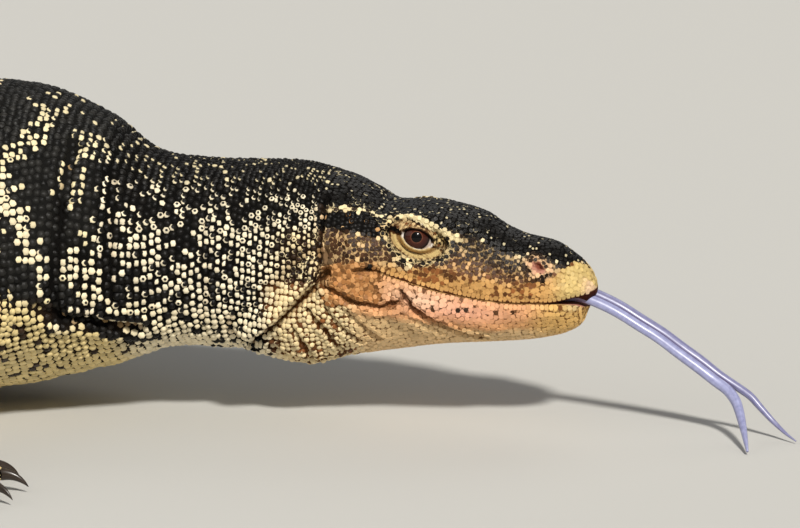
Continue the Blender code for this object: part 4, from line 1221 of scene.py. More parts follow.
def keep_layer(mesh: bpy.types.Mesh, name: str, kind: str, values: Array) -> None:
    """Keeps a value or a colour for each vertex as an attribute of the mesh."""
    layer = mesh.attributes.new(name, kind, "POINT")
    layer.data.foreach_set("color" if kind == "FLOAT_COLOR" else "value", values.astype(np.float32).ravel())


@dataclass
class Paint(Rows):
    """What each vertex of skin or scale is painted: a pale and a dark colour, and which of them shows.

    The pale one shows where the pattern is over a half.
    """

    bright: Array
    dark: Array
    pattern: Array

    def put_on(self, mesh: bpy.types.Mesh) -> None:
        """Keeps the paint as three attributes of a mesh."""
        for name, colours in (("Markings", self.bright), ("Ground", self.dark)):
            full = np.concatenate([np.clip(colours, 0, 1), np.ones((len(colours), 1))], axis=1)
            keep_layer(mesh, name, "FLOAT_COLOR", full)
        keep_layer(mesh, "Pattern", "FLOAT", self.pattern)


def make_piece(
    name: str, points: Array, faces: list[Array], paint: Paint | None = None, patches: Array | None = None
) -> bpy.types.Object:
    """Makes an object from arrays.

    Args:
        name: its name.
        points: its vertices.
        faces: arrays of vertex numbers, each with as many columns as its faces have corners.
        paint: what each vertex is painted.
        patches: a place on the baked picture for each vertex, kept as the map OFBake.

    Returns:
        The object, smooth shaded, in the scene.
    """
    mesh = bpy.data.meshes.new(name)
    corners = np.concatenate([face.ravel() for face in faces]).astype(np.int32)
    sizes = np.concatenate([np.full(len(face), face.shape[1]) for face in faces])
    starts = np.concatenate([[0], np.cumsum(sizes)[:-1]]).astype(np.int32)
    mesh.vertices.add(len(points))
    mesh.vertices.foreach_set("co", points.astype(np.float32).ravel())
    mesh.loops.add(len(corners))
    mesh.loops.foreach_set("vertex_index", corners)
    mesh.polygons.add(len(sizes))
    mesh.polygons.foreach_set("loop_start", starts)
    mesh.update(calc_edges=True)
    if paint is not None:
        paint.put_on(mesh)
    if patches is not None:
        uv = mesh.uv_layers.new(name="OFBake")
        uv.data.foreach_set("uv", np.clip(patches, 0, 1)[corners].astype(np.float32).ravel())
    mesh.shade_smooth()
    made = bpy.data.objects.new(name, mesh)
    bpy.context.scene.collection.objects.link(made)
    return made


def grid_faces(rows: int, columns: int) -> Array:
    """The quads of a closed grid of vertices, numbered along each row."""
    index = np.arange(rows * columns).reshape(rows, columns)
    index = np.concatenate([index, index[:, :1]], axis=1)
    return np.stack([index[:-1, :-1], index[1:, :-1], index[1:, 1:], index[:-1, 1:]], axis=-1).reshape(-1, 4)


def welded(piece: bpy.types.Object, distance: float = 1e-6) -> bpy.types.Object:
    """The object with vertices in the same place made one, and all faces turned outward."""
    whole = bmesh.new()
    whole.from_mesh(piece.data)
    bmesh.ops.remove_doubles(whole, verts=whole.verts[:], dist=distance)
    bmesh.ops.recalc_face_normals(whole, faces=whole.faces[:])
    whole.to_mesh(piece.data)
    whole.free()
    return piece


@dataclass
class Shell:
    """Grids of vertices that are collected into one mesh."""

    points: list[Array] = field(default_factory=list)
    faces: list[Array] = field(default_factory=list)
    paints: list[Paint] = field(default_factory=list)
    count: int = 0

    def add(self, points: Array, paint: Paint | None, *faces: Array) -> None:
        """Adds vertices and faces, which number these from 0 up and the ones added before from -1 down."""
        self.points.append(points)
        self.faces += [part + self.count for part in faces]
        self.count += len(points)
        if paint is not None:
            self.paints.append(paint)

    def made(self, name: str) -> bpy.types.Object:
        """The object with all that was added."""
        paint = Paint.joined(self.paints) if self.paints else None
        return make_piece(name, np.concatenate(self.points), self.faces, paint)


def spread(low: float, high: float, count: int, weight: Callable[[Array], Array]) -> Array:
    """Values from low to high, closer together where the weight is larger.

    Args:
        low: the first value.
        high: the last one.
        count: how many steps to take.
        weight: how dense the values are at any place, compared with elsewhere.

    Returns:
        The values, one more than the steps.
    """
    fine = np.linspace(low, high, 2001)
    dense = weight(fine)
    total = np.concatenate([[0], np.cumsum((dense[1:] + dense[:-1]) / 2)])
    return np.interp(np.linspace(0, total[-1], count + 1), total, fine)


def tube(
    path: Array, width: Array, height: Array, sides: int, lowest: float | None = None, roll: float = 0.0
) -> tuple[Array, Array]:
    """A closed tube of ellipses along a path.

    Args:
        path: its middle line.
        width: half its width at each point of the path.
        height: half its height there.
        sides: how many corners each ellipse has.
        lowest: the height that nothing reaches below.
        roll: how far the ellipses are turned about the path from lying level, in radians.

    Returns:
        Its vertices, ring by ring with both ends drawn in to a point, and its quads.
    """
    across, over = cross_axes(path, roll)
    turn = (np.arange(sides) + 0.5) * 2 * math.pi / sides
    rings = path[:, None] + across[:, None] * (width[:, None] * np.sin(turn))[..., None]
    rings = rings + over[:, None] * (height[:, None] * np.cos(turn))[..., None]
    first = path[:1, None] + (rings[:1] - path[:1, None]) * 1e-4
    last = path[-1:, None] + (rings[-1:] - path[-1:, None]) * 1e-4
    rings = np.concatenate([first, rings, last])
    if lowest is not None:
        rings[..., 2] = np.maximum(rings[..., 2], lowest)
    return rings.reshape(-1, 3), grid_faces(len(rings), sides)


def cross_axes(path: Array, roll: float) -> tuple[Array, Array]:
    """The sideways and the upward axis at each point of a path, turned about it by the roll."""
    ahead = unit(np.gradient(path, axis=0))
    across = unit(np.cross((0.0, 0.0, 1.0), ahead))
    over = np.cross(ahead, across)
    return across * math.cos(roll) + over * math.sin(roll), over * math.cos(roll) - across * math.sin(roll)


def smooth_line(corners: Array, count: int) -> Array:
    """Points evenly along a smooth curve through a few corners."""
    lengths = running(corners)
    run = np.linspace(0, lengths[-1], count)
    return np.stack([Curve(list(zip(lengths, corners[:, k])))(run) for k in range(3)], axis=1)


class Value:
    """A shader socket that can be added to, multiplied and so on, each by one Math node."""

    def __init__(self, graph: "Graph", socket: bpy.types.NodeSocket) -> None:
        """Keeps the socket and the graph that it is in."""
        self.graph, self.socket = graph, socket

    def math(self, operation: str, first: "Value | float", second: "Value | float") -> "Value":
        """One Math node."""
        return self.graph.node("ShaderNodeMath", {"operation": operation}, {0: first, 1: second})

    def __add__(self, other: "Value | float") -> "Value":
        """The sum."""
        return self.math("ADD", self, other)

    __radd__ = __add__

    def __mul__(self, other: "Value | float") -> "Value":
        """The product."""
        return self.math("MULTIPLY", self, other)

    __rmul__ = __mul__

    def __sub__(self, other: "Value | float") -> "Value":
        """The difference."""
        return self.math("SUBTRACT", self, other)

    def __rsub__(self, other: "Value | float") -> "Value":
        """The difference the other way round."""
        return self.math("SUBTRACT", other, self)

    def __truediv__(self, other: "Value | float") -> "Value":
        """The quotient."""
        return self.math("DIVIDE", self, other)

    def __rtruediv__(self, other: "Value | float") -> "Value":
        """The quotient the other way round."""
        return self.math("DIVIDE", other, self)


class Graph:
    """A material's nodes, added one at a time."""

    def __init__(self, name: str) -> None:
        """Makes the material with its shader."""
        self.material = bpy.data.materials.new(name)
        self.material.use_nodes = True
        self.tree = self.material.node_tree
        self.shader = next(node for node in self.tree.nodes if node.type == "BSDF_PRINCIPLED")

    def join(self, given: object, socket: bpy.types.NodeSocket) -> None:
        """Links a Value to a socket, or sets the socket to a number or a colour."""
        if isinstance(given, Value):
            self.tree.links.new(given.socket, socket)
        else:
            socket.default_value = given

    def node(
        self, kind: str, settings: dict[str, object], inputs: dict[int | str, object], output: int | str = 0
    ) -> Value:
        """Adds a node.

        Args:
            kind: its type.
            settings: its own properties.
            inputs: a number, colour or Value for each socket that isn't left as it is.
            output: which of its outputs to give back.

        Returns:
            The output as a Value.
        """
        made = self.tree.nodes.new(kind)
        for key, setting in settings.items():
            setattr(made, key, setting)
        for key, given in inputs.items():
            self.join(given, made.inputs[key])
        return Value(self, made.outputs[output])

    def attribute(self, name: str, output: str = "Fac") -> Value:
        """An attribute of the mesh, as a number or as a colour."""
        return self.node("ShaderNodeAttribute", {"attribute_name": name}, {}, output)

    def feed(self, socket: str, given: Value) -> None:
        """Links a Value to one of the shader's sockets."""
        self.tree.links.new(given.socket, self.shader.inputs[socket])

    def fix(self, **sockets: object) -> None:
        """Sets sockets of the shader, with underscores for the spaces in their names."""
        for key, given in sockets.items():
            self.shader.inputs[key.replace("_", " ")].default_value = given

    def colour(self, red: float, green: float, blue: float) -> tuple[float, float, float, float]:
        """A screen colour as a socket takes it."""
        return (*linear(red, green, blue), 1.0)

    def grain(self, scale: float, detail: float = 2.0) -> Value:
        """Noise over the object, from 0 to 1."""
        place = self.node("ShaderNodeTexCoord", {}, {}, "Object")
        return self.node("ShaderNodeTexNoise", {}, {"Vector": place, "Scale": scale, "Detail": detail})

    def blend(self, share: "Value | float", first: object, second: object, kind: str = "MIX") -> Value:
        """A colour between two, or their product."""
        made = self.tree.nodes.new("ShaderNodeMix")
        made.data_type, made.blend_type = "RGBA", kind
        for number, given in ((0, share), (6, first), (7, second)):
            self.join(given, made.inputs[number])
        return Value(self, made.outputs[2])

    def ramp(self, share: Value, stops: Sequence[tuple[float, tuple[float, float, float, float]]]) -> Value:
        """A colour that changes with a value through a few stops."""
        made = self.tree.nodes.new("ShaderNodeValToRGB")
        self.tree.links.new(share.socket, made.inputs[0])
        elements = made.color_ramp.elements
        while len(elements) < len(stops):
            elements.new(1.0)
        for element, (position, colour) in zip(elements, stops):
            element.position, element.color = position, colour
        return Value(self, made.outputs[0])

    def bumpy(self, height: Value, strength: float, distance: float) -> None:
        """Roughens the shader's normal by a height."""
        inputs = {"Height": height, "Strength": strength, "Distance": distance}
        self.feed("Normal", self.node("ShaderNodeBump", {}, inputs))


@dataclass(frozen=True)
class Hide:
    """Skin or scales: the painted markings with a fine grain, and a dull sheen."""

    name: str
    roughness: float
    sheen: float

    def material(self) -> bpy.types.Material:
        """Makes the material."""
        graph = Graph(self.name)
        bright, dark = graph.attribute("Markings", "Color"), graph.attribute("Ground", "Color")
        grain = graph.grain(900.0, 3.0)
        edge = graph.attribute("Pattern") + 0.60 * (grain - 0.5)
        soft = {"interpolation_type": "SMOOTHSTEP"}
        shown = graph.node("ShaderNodeMapRange", soft, {"Value": edge, 1: 0.38, 2: 0.60})
        shade = graph.node("ShaderNodeMapRange", {}, {"Value": grain, 3: 0.84, 4: 1.12})
        graph.feed("Base Color", graph.blend(1.0, graph.blend(shown, dark, bright), shade, "MULTIPLY"))
        graph.feed("Roughness", self.roughness + 0.14 * (grain - 0.5) + 0.06 * shown)
        graph.fix(Specular_IOR_Level=self.sheen)
        graph.bumpy(graph.grain(2600.0, 2.0), 0.60, 0.0003)
        return graph.material


@dataclass(frozen=True)
class Wet:
    """The tongue: smooth, wet and lavender, with fine lengthwise grain, darkened by painted shade."""

    name: str = "tongue_wet"

    def material(self) -> bpy.types.Material:
        """Makes the material."""
        graph = Graph(self.name)
        grain = graph.grain(420.0, 3.0)
        lavender = graph.blend(grain, graph.colour(116, 118, 160), graph.colour(176, 180, 216))
        # Painted shade: the attribute Shade darkens the lavender between the lobes, below and on the far
        # lobe, with fine streaks.
        graph.feed("Base Color", graph.blend(graph.attribute("Shade"), lavender, graph.colour(74, 60, 98)))
        graph.fix(Roughness=0.40, Coat_Weight=0.30, Coat_Roughness=0.22)
        graph.bumpy(grain, 0.20, 0.0004)
        return graph.material


@dataclass(frozen=True)
class Iris:
    """The eye: a round black pupil in a dark red-brown iris under a clear wet surface."""

    name: str = "eye_wet"
    pupil: float = 0.0024
    rim: float = 0.0054
    farthest: float = 0.0085

    def material(self) -> bpy.types.Material:
        """Makes the material from the attribute Away, which is the distance from the middle of the pupil."""
        graph = Graph(self.name)
        grain = graph.grain(1500.0, 3.0)
        share = (graph.attribute("Away") + 0.0004 * (grain - 0.5)) / self.farthest
        pupil, rim = self.pupil / self.farthest, self.rim / self.farthest
        stops = [
            (0.0, graph.colour(6, 5, 5)),
            (pupil - 0.02, graph.colour(7, 5, 5)),
            (pupil + 0.012, graph.colour(112, 68, 48)),
            (pupil + 0.045, graph.colour(72, 34, 24)),
            (rim - 0.05, graph.colour(48, 23, 17)),
            (rim, graph.colour(26, 16, 13)),
            (rim + 0.05, graph.colour(34, 22, 18)),
            (rim + 0.09, graph.colour(196, 180, 168)),
            (1.0, graph.colour(206, 192, 180)),
        ]
        graph.feed("Base Color", graph.ramp(share, stops))
        graph.fix(Roughness=0.35, Specular_IOR_Level=0.05, Coat_Weight=0.35, Coat_Roughness=0.02)
        return graph.material


@dataclass(frozen=True)
class Horn:
    """The claws: dark polished horn."""

    name: str = "claw_horn"

    def material(self) -> bpy.types.Material:
        """Makes the material."""
        graph = Graph(self.name)
        grain = graph.grain(420.0, 2.0)
        graph.feed("Base Color", graph.blend(grain, graph.colour(26, 20, 17), graph.colour(62, 50, 40)))
        graph.fix(Roughness=0.30)
        return graph.material


@dataclass
class Skin:
    """The whole animal's bare skin as one mesh."""

    head: Head
    limbs: list[Limb]
    markings: Markings
    upper_columns: int = 120
    lower_columns: int = 88
    mouth_columns: int = 16
    head_rows: int = 150
    limb_rows: int = 48
    foot_rows: int = 7
    limb_columns: int = 28
    toe_rows: int = 14
    toe_columns: int = 12
    neck_end: float = 0.158
    shoulder: float = 0.262
    vent: float = 0.800
    tip_gap: float = 0.0012
    palate_arch: float = 0.0012
    arch_fade: float = 0.02
    weld: float = 4e-6
    flesh: Array = field(default_factory=lambda: linear(188, 132, 112))
    gullet_shade: Array = field(default_factory=lambda: linear(92, 44, 40))
    lip_gap_shade: Array = field(default_factory=lambda: linear(64, 26, 18))

    def columns(self, low: float, high: float, count: int) -> Array:
        """Angles round the head, closer together near the eyes and the lips."""

        def weight(turn: Array) -> Array:
            """How dense they are."""
            degrees = from_back(turn)
            return 1 + 1.2 * bump(degrees, 62, 16) + 1.6 * bump(degrees, 90, 6)

        return spread(low, high, count, weight)

    def both_columns(self) -> tuple[Array, Array]:
        """Angles round the upper head and round the lower jaw, from lip to lip."""
        upper = self.columns(-math.pi / 2, math.pi / 2, self.upper_columns)
        return upper, self.columns(math.pi / 2, 3 * math.pi / 2, self.lower_columns)

    def head_rows_along(self) -> Array:
        """Places along the head, closer together at the snout's tip, the nostrils and the eyes."""

        def weight(along: Array) -> Array:
            """How dense they are."""
            dense = 1 + 0.9 * bump(along, 0.0794, 0.013) + 2.2 * np.exp(-along / 0.0035)
            return dense + 0.5 * bump(along, 0.0243, 0.006)

        return spread(0.0, self.head.body.mouth_corner, self.head_rows, weight)

    def head_grids(self) -> list[tuple[Array, Array, Array, Array]]:
        """The upper head and the lower jaw, each a row of closed rings that run through the mouth.

        Returns:
            For each of the two: the points, the distances along, the turns, and where the mouth's lining is.
        """
        head, corner = self.head, self.head.body.mouth_corner
        along = self.head_rows_along()
        upper, lower = self.both_columns()
        upper_turn = (upper / (math.pi / 2)) * head.upper_lip(along)[:, None]
        low = head.jaw_tip + along * (1 - head.jaw_tip / corner)
        first = head.lip_turn(low)[:, None]
        lower_turn = first + (2 * math.pi - 2 * first) * ((lower - math.pi / 2) / math.pi)
        across = np.linspace(0, 1, self.mouth_columns + 1)[1:-1]
        fade = np.clip((corner - along) / self.arch_fade, 0, 1)
        grids = []
        for place, turn, lift in ((along, upper_turn, 1), (low, lower_turn, -1)):
            outer = head.surface(place[:, None], turn)
            lining = outer[:, -1:] * (1 - across[:, None]) + outer[:, :1] * across[:, None]
            lining[..., 2] += lift * self.palate_arch * fade[:, None] * np.sin(math.pi * across)
            grid = np.concatenate([outer, lining], axis=1)
            grid[0] = grid[0].mean(axis=0)
            inner = np.zeros(grid.shape[:2], bool)
            inner[:, outer.shape[1] :] = True
            turns = np.concatenate([turn, np.zeros(lining.shape[:2])], axis=1)
            grids.append((grid, np.broadcast_to(place[:, None], grid.shape[:2]), turns, inner))
        return grids

    def body_rows(self) -> list[tuple[Array, Array]]:
        """Rings from the corner of the mouth to the tip of the tail.

        Returns:
            For each stretch of rings with the same number of columns, their places along the body and their
            turns. Each stretch has half the columns of the one before and begins where that one ends.
        """
        body = self.head.body
        ring = np.concatenate([columns[:-1] for columns in self.both_columns()])
        even = ring[0] + np.arange(len(ring)) * 2 * math.pi / len(ring)
        tail = body.tip - (self.vent + self.tip_gap)
        trunk = np.linspace(self.shoulder, self.vent, 130)[1:]
        places = (
            np.linspace(body.mouth_corner, self.neck_end, 70),
            np.concatenate([np.linspace(self.neck_end, self.shoulder, 58), trunk]),
            body.tip - self.tip_gap - tail * np.linspace(1, 0, 178) ** 1.03,
        )
        stretches = []
        for number, along in enumerate(places):
            share = smooth(along, body.mouth_corner, 0.150)[:, None]
            turn = (ring * (1 - share) + even * share)[:, :: 2**number]
            stretches.append((along, turn))
        return stretches

    def build(self) -> bpy.types.Object:
        """Makes the skin: the head with its mouth, the body and tail, the legs and the toes."""
        shell = Shell()
        for grid, along, turn, inner in self.head_grids():
            points = grid.reshape(-1, 3)
            paint = self.body_paint(points, along.ravel(), turn.ravel(), inner.ravel())
            shell.add(points, paint, grid_faces(*grid.shape[:2]))
        self.add_body(shell)
        for limb in self.limbs:
            self.add_limb(shell, limb)
        return welded(shell.made("skin"), self.weld)

    def add_body(self, shell: Shell) -> None:
        """Adds the body and tail. Each stretch of rings is stitched to the last ring of the one before."""
        edge = None
        for along, turn in self.body_rows():
            grid = self.head.surface(along[:, None], turn)
            stitches = []
            if edge is not None:
                grid, along, turn = grid[1:], along[1:], turn[1:]
                first, pairs = np.arange(turn.shape[1]), edge.reshape(-1, 2)
                ahead, behind = pairs[:, 0], pairs[:, 1]
                stitches.append(np.stack([ahead, first, behind], axis=1))
                stitches.append(np.stack([behind, first, np.roll(first, -1), np.roll(ahead, -1)], axis=1))
            points = grid.reshape(-1, 3)
            flat = np.broadcast_to(along[:, None], turn.shape).ravel()
            paint = self.body_paint(points, flat, turn.ravel(), np.zeros(flat.shape, bool))
            shell.add(points, paint, *stitches, grid_faces(*turn.shape))
            edge = np.arange(-turn.shape[1], 0)
        tip = points[-turn.shape[1] :].mean(axis=0)
        fan = np.stack([edge, np.zeros(len(edge), int), np.roll(edge, -1)], axis=1)
        shell.add(tip[None], paint.chosen(np.array([-1])), fan)

    def add_limb(self, shell: Shell, limb: Limb) -> None:
        """Adds one leg with its rounded foot, and its toes."""
        part = Part.FRONT_LIMB if limb.front else Part.HIND_LIMB
        foot = limb.foot_round * np.sin(np.linspace(0, math.pi / 2, self.foot_rows))
        run = np.concatenate([np.linspace(0, limb.length, self.limb_rows)[:-1], limb.length + foot])
        turn = np.arange(self.limb_columns) * 2 * math.pi / self.limb_columns
        self.add_tube(shell, limb.surface(run[:, None], turn), part, run, turn, limb.length)
        share = np.linspace(0, 1, self.toe_rows)
        turn = np.arange(self.toe_columns) * 2 * math.pi / self.toe_columns
        for number, toe in enumerate(limb.toes):
            grid = limb.toe_surface(number, share[:, None], turn)
            tip = np.broadcast_to(grid[-1].mean(axis=0), (1, self.toe_columns, 3))
            run = np.append(share, 1.0) * toe[1]
            self.add_tube(shell, np.concatenate([grid, tip]), Part.TOE, run, turn, limb.length)

    def add_tube(
        self, shell: Shell, grid: Array, part: Part, run: Array, turn: Array, length: float
    ) -> None:
        """Adds the tube of a leg or a toe, closed at its start.

        Args:
            shell: what to add it to.
            grid: its points, ring by ring.
            part: which part it is.
            run: how far down the limb each ring is.
            turn: the angles round it.
            length: the limb's whole length.
        """
        grid = np.concatenate([np.broadcast_to(grid[0].mean(axis=0), grid[:1].shape), grid])
        run = np.concatenate([run[:1], run])
        runs, turns = (array.ravel() for array in np.broadcast_arrays(run[:, None], turn))
        paint = self.bare(self.markings.on_limb(part, runs, turns, length))
        shell.add(grid.reshape(-1, 3), paint, grid_faces(*grid.shape[:2]))

    def bare(self, marks: Marks) -> Paint:
        """The skin between the scales: dark, but pale in a net and darker than them where they are plates."""
        pattern = np.clip(0.58 * marks.net * (1 - marks.pale) + marks.pale * (1 - marks.rim) * 0.60, 0, 1)
        return Paint(marks.bright * 0.80, marks.dark * 0.60, pattern)

    def body_paint(self, points: Array, along: Array, turn: Array, inner: Array) -> Paint:
        """The paint of the body's skin, with painted shade along the gap between the lips, and flesh inside
        the mouth that darkens towards the throat as painted shade.

        Args:
            points: places of the skin.
            along: their distances along the body.
            turn: their angles round it.
            inner: which of them line the mouth.

        Returns:
            The paint of each place.
        """
        head, away = self.head, np.abs(turn)
        paint = self.bare(self.markings.on_body(along, turn, points))
        # Painted shade: the edges of both lips darken, for the shade in the gap of the mouth.
        swing = np.minimum(np.abs(away - head.upper_lip(along)), np.abs(away - head.lip_turn(along)))
        edge = smooth(swing * head.body.radius_at(along), 0.0011, 0.0006) * smooth(along, 0.104, 0.096)
        paint.bright = mixed(paint.bright, self.lip_gap_shade, edge)
        # Painted shade: the lining darkens from the flesh at the front to the shade further in.
        inside = mixed(self.flesh, self.gullet_shade, smooth(along, 0.004, 0.028))
        paint.bright = np.where(inner[:, None], inside, paint.bright)
        paint.pattern = np.where(inner, 1.0, paint.pattern)
        return paint


@dataclass
class Seeds(Rows):
    """Where scales grow and how large each one is."""

    points: Array
    ahead: Array
    across: Array
    size: Array
    height: Array
    marks: Marks
    patch: Array
    squareness: Array


SIDES = 6
CORNERS = 1 + 2 * SIDES
ENDS = np.array([1.0, 0.0, 0.0, 1.0, 0.0, 0.0])


def upright(ahead: Array, across: Array) -> Array:
    """The second directions, made square to the first."""
    return unit(across - ahead * (ahead * across).sum(axis=-1, keepdims=True))


@dataclass
class Coat:
    """All the scales: low domes or flat plates with six sides, in rows round the body, legs and toes."""

    head: Head
    limbs: list[Limb]
    markings: Markings
    pitch: Pairs = (
        (0.0, 0.0019), (0.030, 0.0021), (0.080, 0.0022), (0.108, 0.0023), (0.120, 0.0025),
        (0.150, 0.0031), (0.180, 0.0036), (0.220, 0.0038), (0.300, 0.0039), (0.740, 0.0039),
        (1.200, 0.0034), (1.915, 0.0026),
    )
    height: Pairs = (
        (0.0, 0.00036), (0.090, 0.00042), (0.118, 0.00075), (0.150, 0.00105), (0.240, 0.00105),
        (0.300, 0.00090), (1.000, 0.00075), (1.915, 0.00040),
    )
    row_share: float = 0.866
    first_row: float = 0.0016
    tail_end: float = 0.004
    limb_pitch: float = 0.0033
    limb_height: float = 0.00062
    limb_end: float = 0.003
    toe_pitch: float = 0.0024
    toe_height: float = 0.00042
    toe_end: float = 0.004
    buried: float = 0.0006
    bead_fill: float = 0.54
    plate_fill: float = 0.63
    bead_middle: float = 0.60
    plate_middle: float = 0.86
    plate_flatness: float = 0.60
    tilt: float = 0.15
    lip_scale: float = 0.0023
    lip_start: float = 0.0030
    lip_past: float = 0.0008
    lip_pitch: float = 0.86
    lip_away: float = 0.70
    lip_free: float = 1.28
    lip_growth: float = 1.05
    lip_flatness: float = 0.5
    lid_ring: float = 2.3
    lid_size: float = 0.72
    lid_height: float = 0.30
    pit_ring: float = 1.15
    rim_sink: float = 0.00028
    patch_size: float = 0.0015
    patch_edge: float = 0.01
    body_patch: tuple[float, float] = (0.98, 0.54)
    leg_patch: tuple[float, float] = (0.97, 0.078)
    leg_patches: tuple[float, float] = (0.57, 0.085)
    toe_patch: tuple[float, float] = (0.044, 0.075)
    toe_patches: tuple[float, float] = (0.915, 0.049)
    largest_piece: int = 10800

    def body_places(self) -> Array:
        """The scales of the head, trunk and tail: their places along and their turns."""
        body, pitch_at = self.head.body, Curve(self.pitch)
        rows, along = [], self.first_row
        while along < body.tip - self.tail_end:
            rows.append(along)
            along += float(pitch_at(along)) * self.row_share
        fine = np.linspace(0, math.pi, 181)
        everything = []
        for number, place in enumerate(rows):
            run = running(body.surface(place, fine))
            pitch = float(pitch_at(place))
            odd = number % 2
            steps = np.arange(odd * 0.5, run[-1] / pitch - 0.2, 1.0)
            turn = np.interp(steps * pitch, run, fine)
            both = np.concatenate([turn, -turn[1 - odd :]])
            column = np.concatenate([steps, -steps[1 - odd :]]) * 2
            everything.append(np.stack([np.full(len(both), place), both, np.full(len(both), number), column]))
        along, turn, row, column = np.concatenate(everything, axis=1)
        cell = np.stack([row, column, np.zeros_like(row)], axis=-1).astype(np.int64)
        loose = np.where(along < 0.12, 0.25, 0.16) * pitch_at(along)
        along = along + loose * (chance(cell, 31) - 0.5) * 2
        radius = np.maximum(body.radius_at(along), 0.006)
        turn = turn + loose * (chance(cell, 32) - 0.5) * 2 / radius
        return np.stack([along, turn])

    def lip_places(self) -> Array:
        """The larger scales in a row along the edge of each lip: their places along and their turns."""
        end = self.head.body.mouth_corner + self.lip_past
        groups = []
        for side in (-1, 1):
            for start, lower in ((self.lip_start, False), (self.head.jaw_tip + self.lip_start, True)):
                along = np.arange(start, end, self.lip_scale * self.lip_pitch)
                turn = self.head.beside_lip(along, self.lip_scale * self.lip_away, lower)
                groups.append(np.stack([along, turn * side]))
        return np.concatenate(groups, axis=1)

    def in_mouth(self, along: Array, degrees: Array) -> Array:
        """Which places lie between the rows of scales along the lips, or before the lower jaw."""
        head, found = self.head, along < self.head.body.mouth_corner + 0.001
        free = self.lip_scale * self.lip_free
        over, under = (np.degrees(head.beside_lip(along[found], free, lower)) for lower in (False, True))
        found[found] = (degrees[found] > over) & (degrees[found] < under)
        return found | ((degrees > 90) & (along < head.jaw_tip + 0.0016))

    def on_body(self) -> tuple[Seeds, Array, Array]:
        """The scales of the head, trunk and tail, without those inside an eye, a pit, the mouth or a leg.

        Returns:
            The scales, their distances along the body, and which of them are on the lower jaw.
        """
        head, body = self.head, self.head.body
        rows = self.body_places()
        along, turn = np.concatenate([rows, self.lip_places()], axis=1)
        is_lip = np.arange(len(along)) >= rows.shape[1]
        keep = is_lip | ~self.in_mouth(along, from_back(turn))
        along, turn, is_lip = along[keep], turn[keep], is_lip[keep]
        points, step = head.surface(along, turn), 0.0006
        swing = step / np.maximum(body.radius_at(along), 0.004)
        ahead = unit(head.surface(along - step, turn) - head.surface(along + step, turn))
        across = unit(head.surface(along, turn + swing) - head.surface(along, turn - swing))
        size = np.where(is_lip, self.lip_scale * self.lip_growth, Curve(self.pitch)(along))
        height = Curve(self.height)(along) * np.where(is_lip, self.lip_flatness, 1.0)
        gone = np.zeros(len(along), bool)
        for eye in head.eyes:
            ring, _, up = eye.ring_of(points)
            gone |= (ring < 1.25) | ((ring < 2.05) & (up < -0.0010))
            size = size * np.where(ring < self.lid_ring, self.lid_size, 1.0)
            height = height * np.where(ring < self.lid_ring, self.lid_height, 1.0)
        for pit in head.nostrils + head.ears:
            gone |= pit.ring_of(points) < self.pit_ring
        for limb in self.limbs:
            near = np.abs(along - limb.along) < 0.10
            gone[near] |= limb.distance(points[near]) < -self.buried
        marks = self.markings.on_body(along, turn, points)
        angle, (wide, tall) = np.arctan2(np.sin(turn), np.cos(turn)), self.body_patch
        down, round_it = wide * along / body.tip, tall * (np.degrees(angle) + 180) / 360
        patch = np.stack([self.patch_edge + down, self.patch_edge + round_it], axis=-1)
        square = np.where(is_lip, 1.0, 0.0)
        seeds = Seeds(points, ahead, upright(ahead, across), size, height, marks, patch, square)
        jaw = (np.abs(angle) > head.upper_lip(along)) & (along < body.mouth_corner)
        return seeds.chosen(~gone), along[~gone], jaw[~gone]

    def on_tube(
        self,
        surface: Callable[[Array, Array], Array],
        length: float,
        part: Part,
        whole: float,
        corner: tuple[float, float],
    ) -> Seeds:
        """The scales of a leg or a toe.

        Args:
            surface: the skin's points for a distance along it and a turn round it.
            length: how long it is.
            part: which part it is.
            whole: the limb's length for its pattern.
            corner: the low corner of its area on the baked picture.

        Returns:
            The scales.
        """
        toe = (self.toe_pitch, self.toe_height, self.toe_end, self.toe_patch)
        leg = (self.limb_pitch, self.limb_height, self.limb_end, self.leg_patch)
        pitch, height, end, extent = toe if part is Part.TOE else leg
        rows = np.arange(end, length - end * 0.2, pitch * self.row_share)
        fine = np.linspace(0, 2 * math.pi, 121)
        everything = []
        for number, place in enumerate(rows):
            run = running(surface(np.array(place), fine))
            count = max(5, round(run[-1] / pitch))
            turn = np.interp((np.arange(count) + 0.5 * (number % 2)) * run[-1] / count, run, fine)
            numbers = np.arange(count)
            everything.append(np.stack([np.full(count, place), turn, np.full(count, number), numbers]))
        run, turn, row, column = np.concatenate(everything, axis=1)
        own = np.full_like(row, round(corner[0] * 1000 + corner[1] * 7000))
        cell = np.stack([row, column, own], axis=-1).astype(np.int64)
        run = run + 0.14 * pitch * (chance(cell, 41) - 0.5)
        ahead = unit(surface(run - 0.0006, turn) - surface(run + 0.0006, turn))
        across = unit(surface(run, turn - 0.03) - surface(run, turn + 0.03))
        spot = np.stack([run / length, np.mod(turn, 2 * math.pi) / (2 * math.pi)], axis=-1)
        return Seeds(
            points=surface(run, turn),
            ahead=ahead,
            across=upright(ahead, across),
            size=np.full(len(run), pitch),
            height=np.full(len(run), height),
            marks=self.markings.on_limb(part, run, turn, whole),
            patch=np.array(corner) + spot * np.array(extent),
            squareness=np.zeros(len(run)),
        )

    def on_limb(self, limb: Limb, number: int) -> list[Seeds]:
        """The scales of one leg and its toes, without those inside the body."""
        part = Part.FRONT_LIMB if limb.front else Part.HIND_LIMB
        low, apart = self.leg_patches
        corner = (self.patch_edge, low + apart * number)
        leg = self.on_tube(limb.surface, limb.length + 0.0065, part, limb.length, corner)
        groups = [leg.chosen(limb.body.distance(leg.points) > -self.buried)]
        low, apart = self.toe_patches
        for toe in range(5):
            length = limb.toes[toe][1] + limb.toe_root

            def surface(run: Array, turn: Array, toe: int = toe, length: float = length) -> Array:
                """The toe's skin by distance instead of share."""
                return limb.toe_surface(toe, run / length, turn)

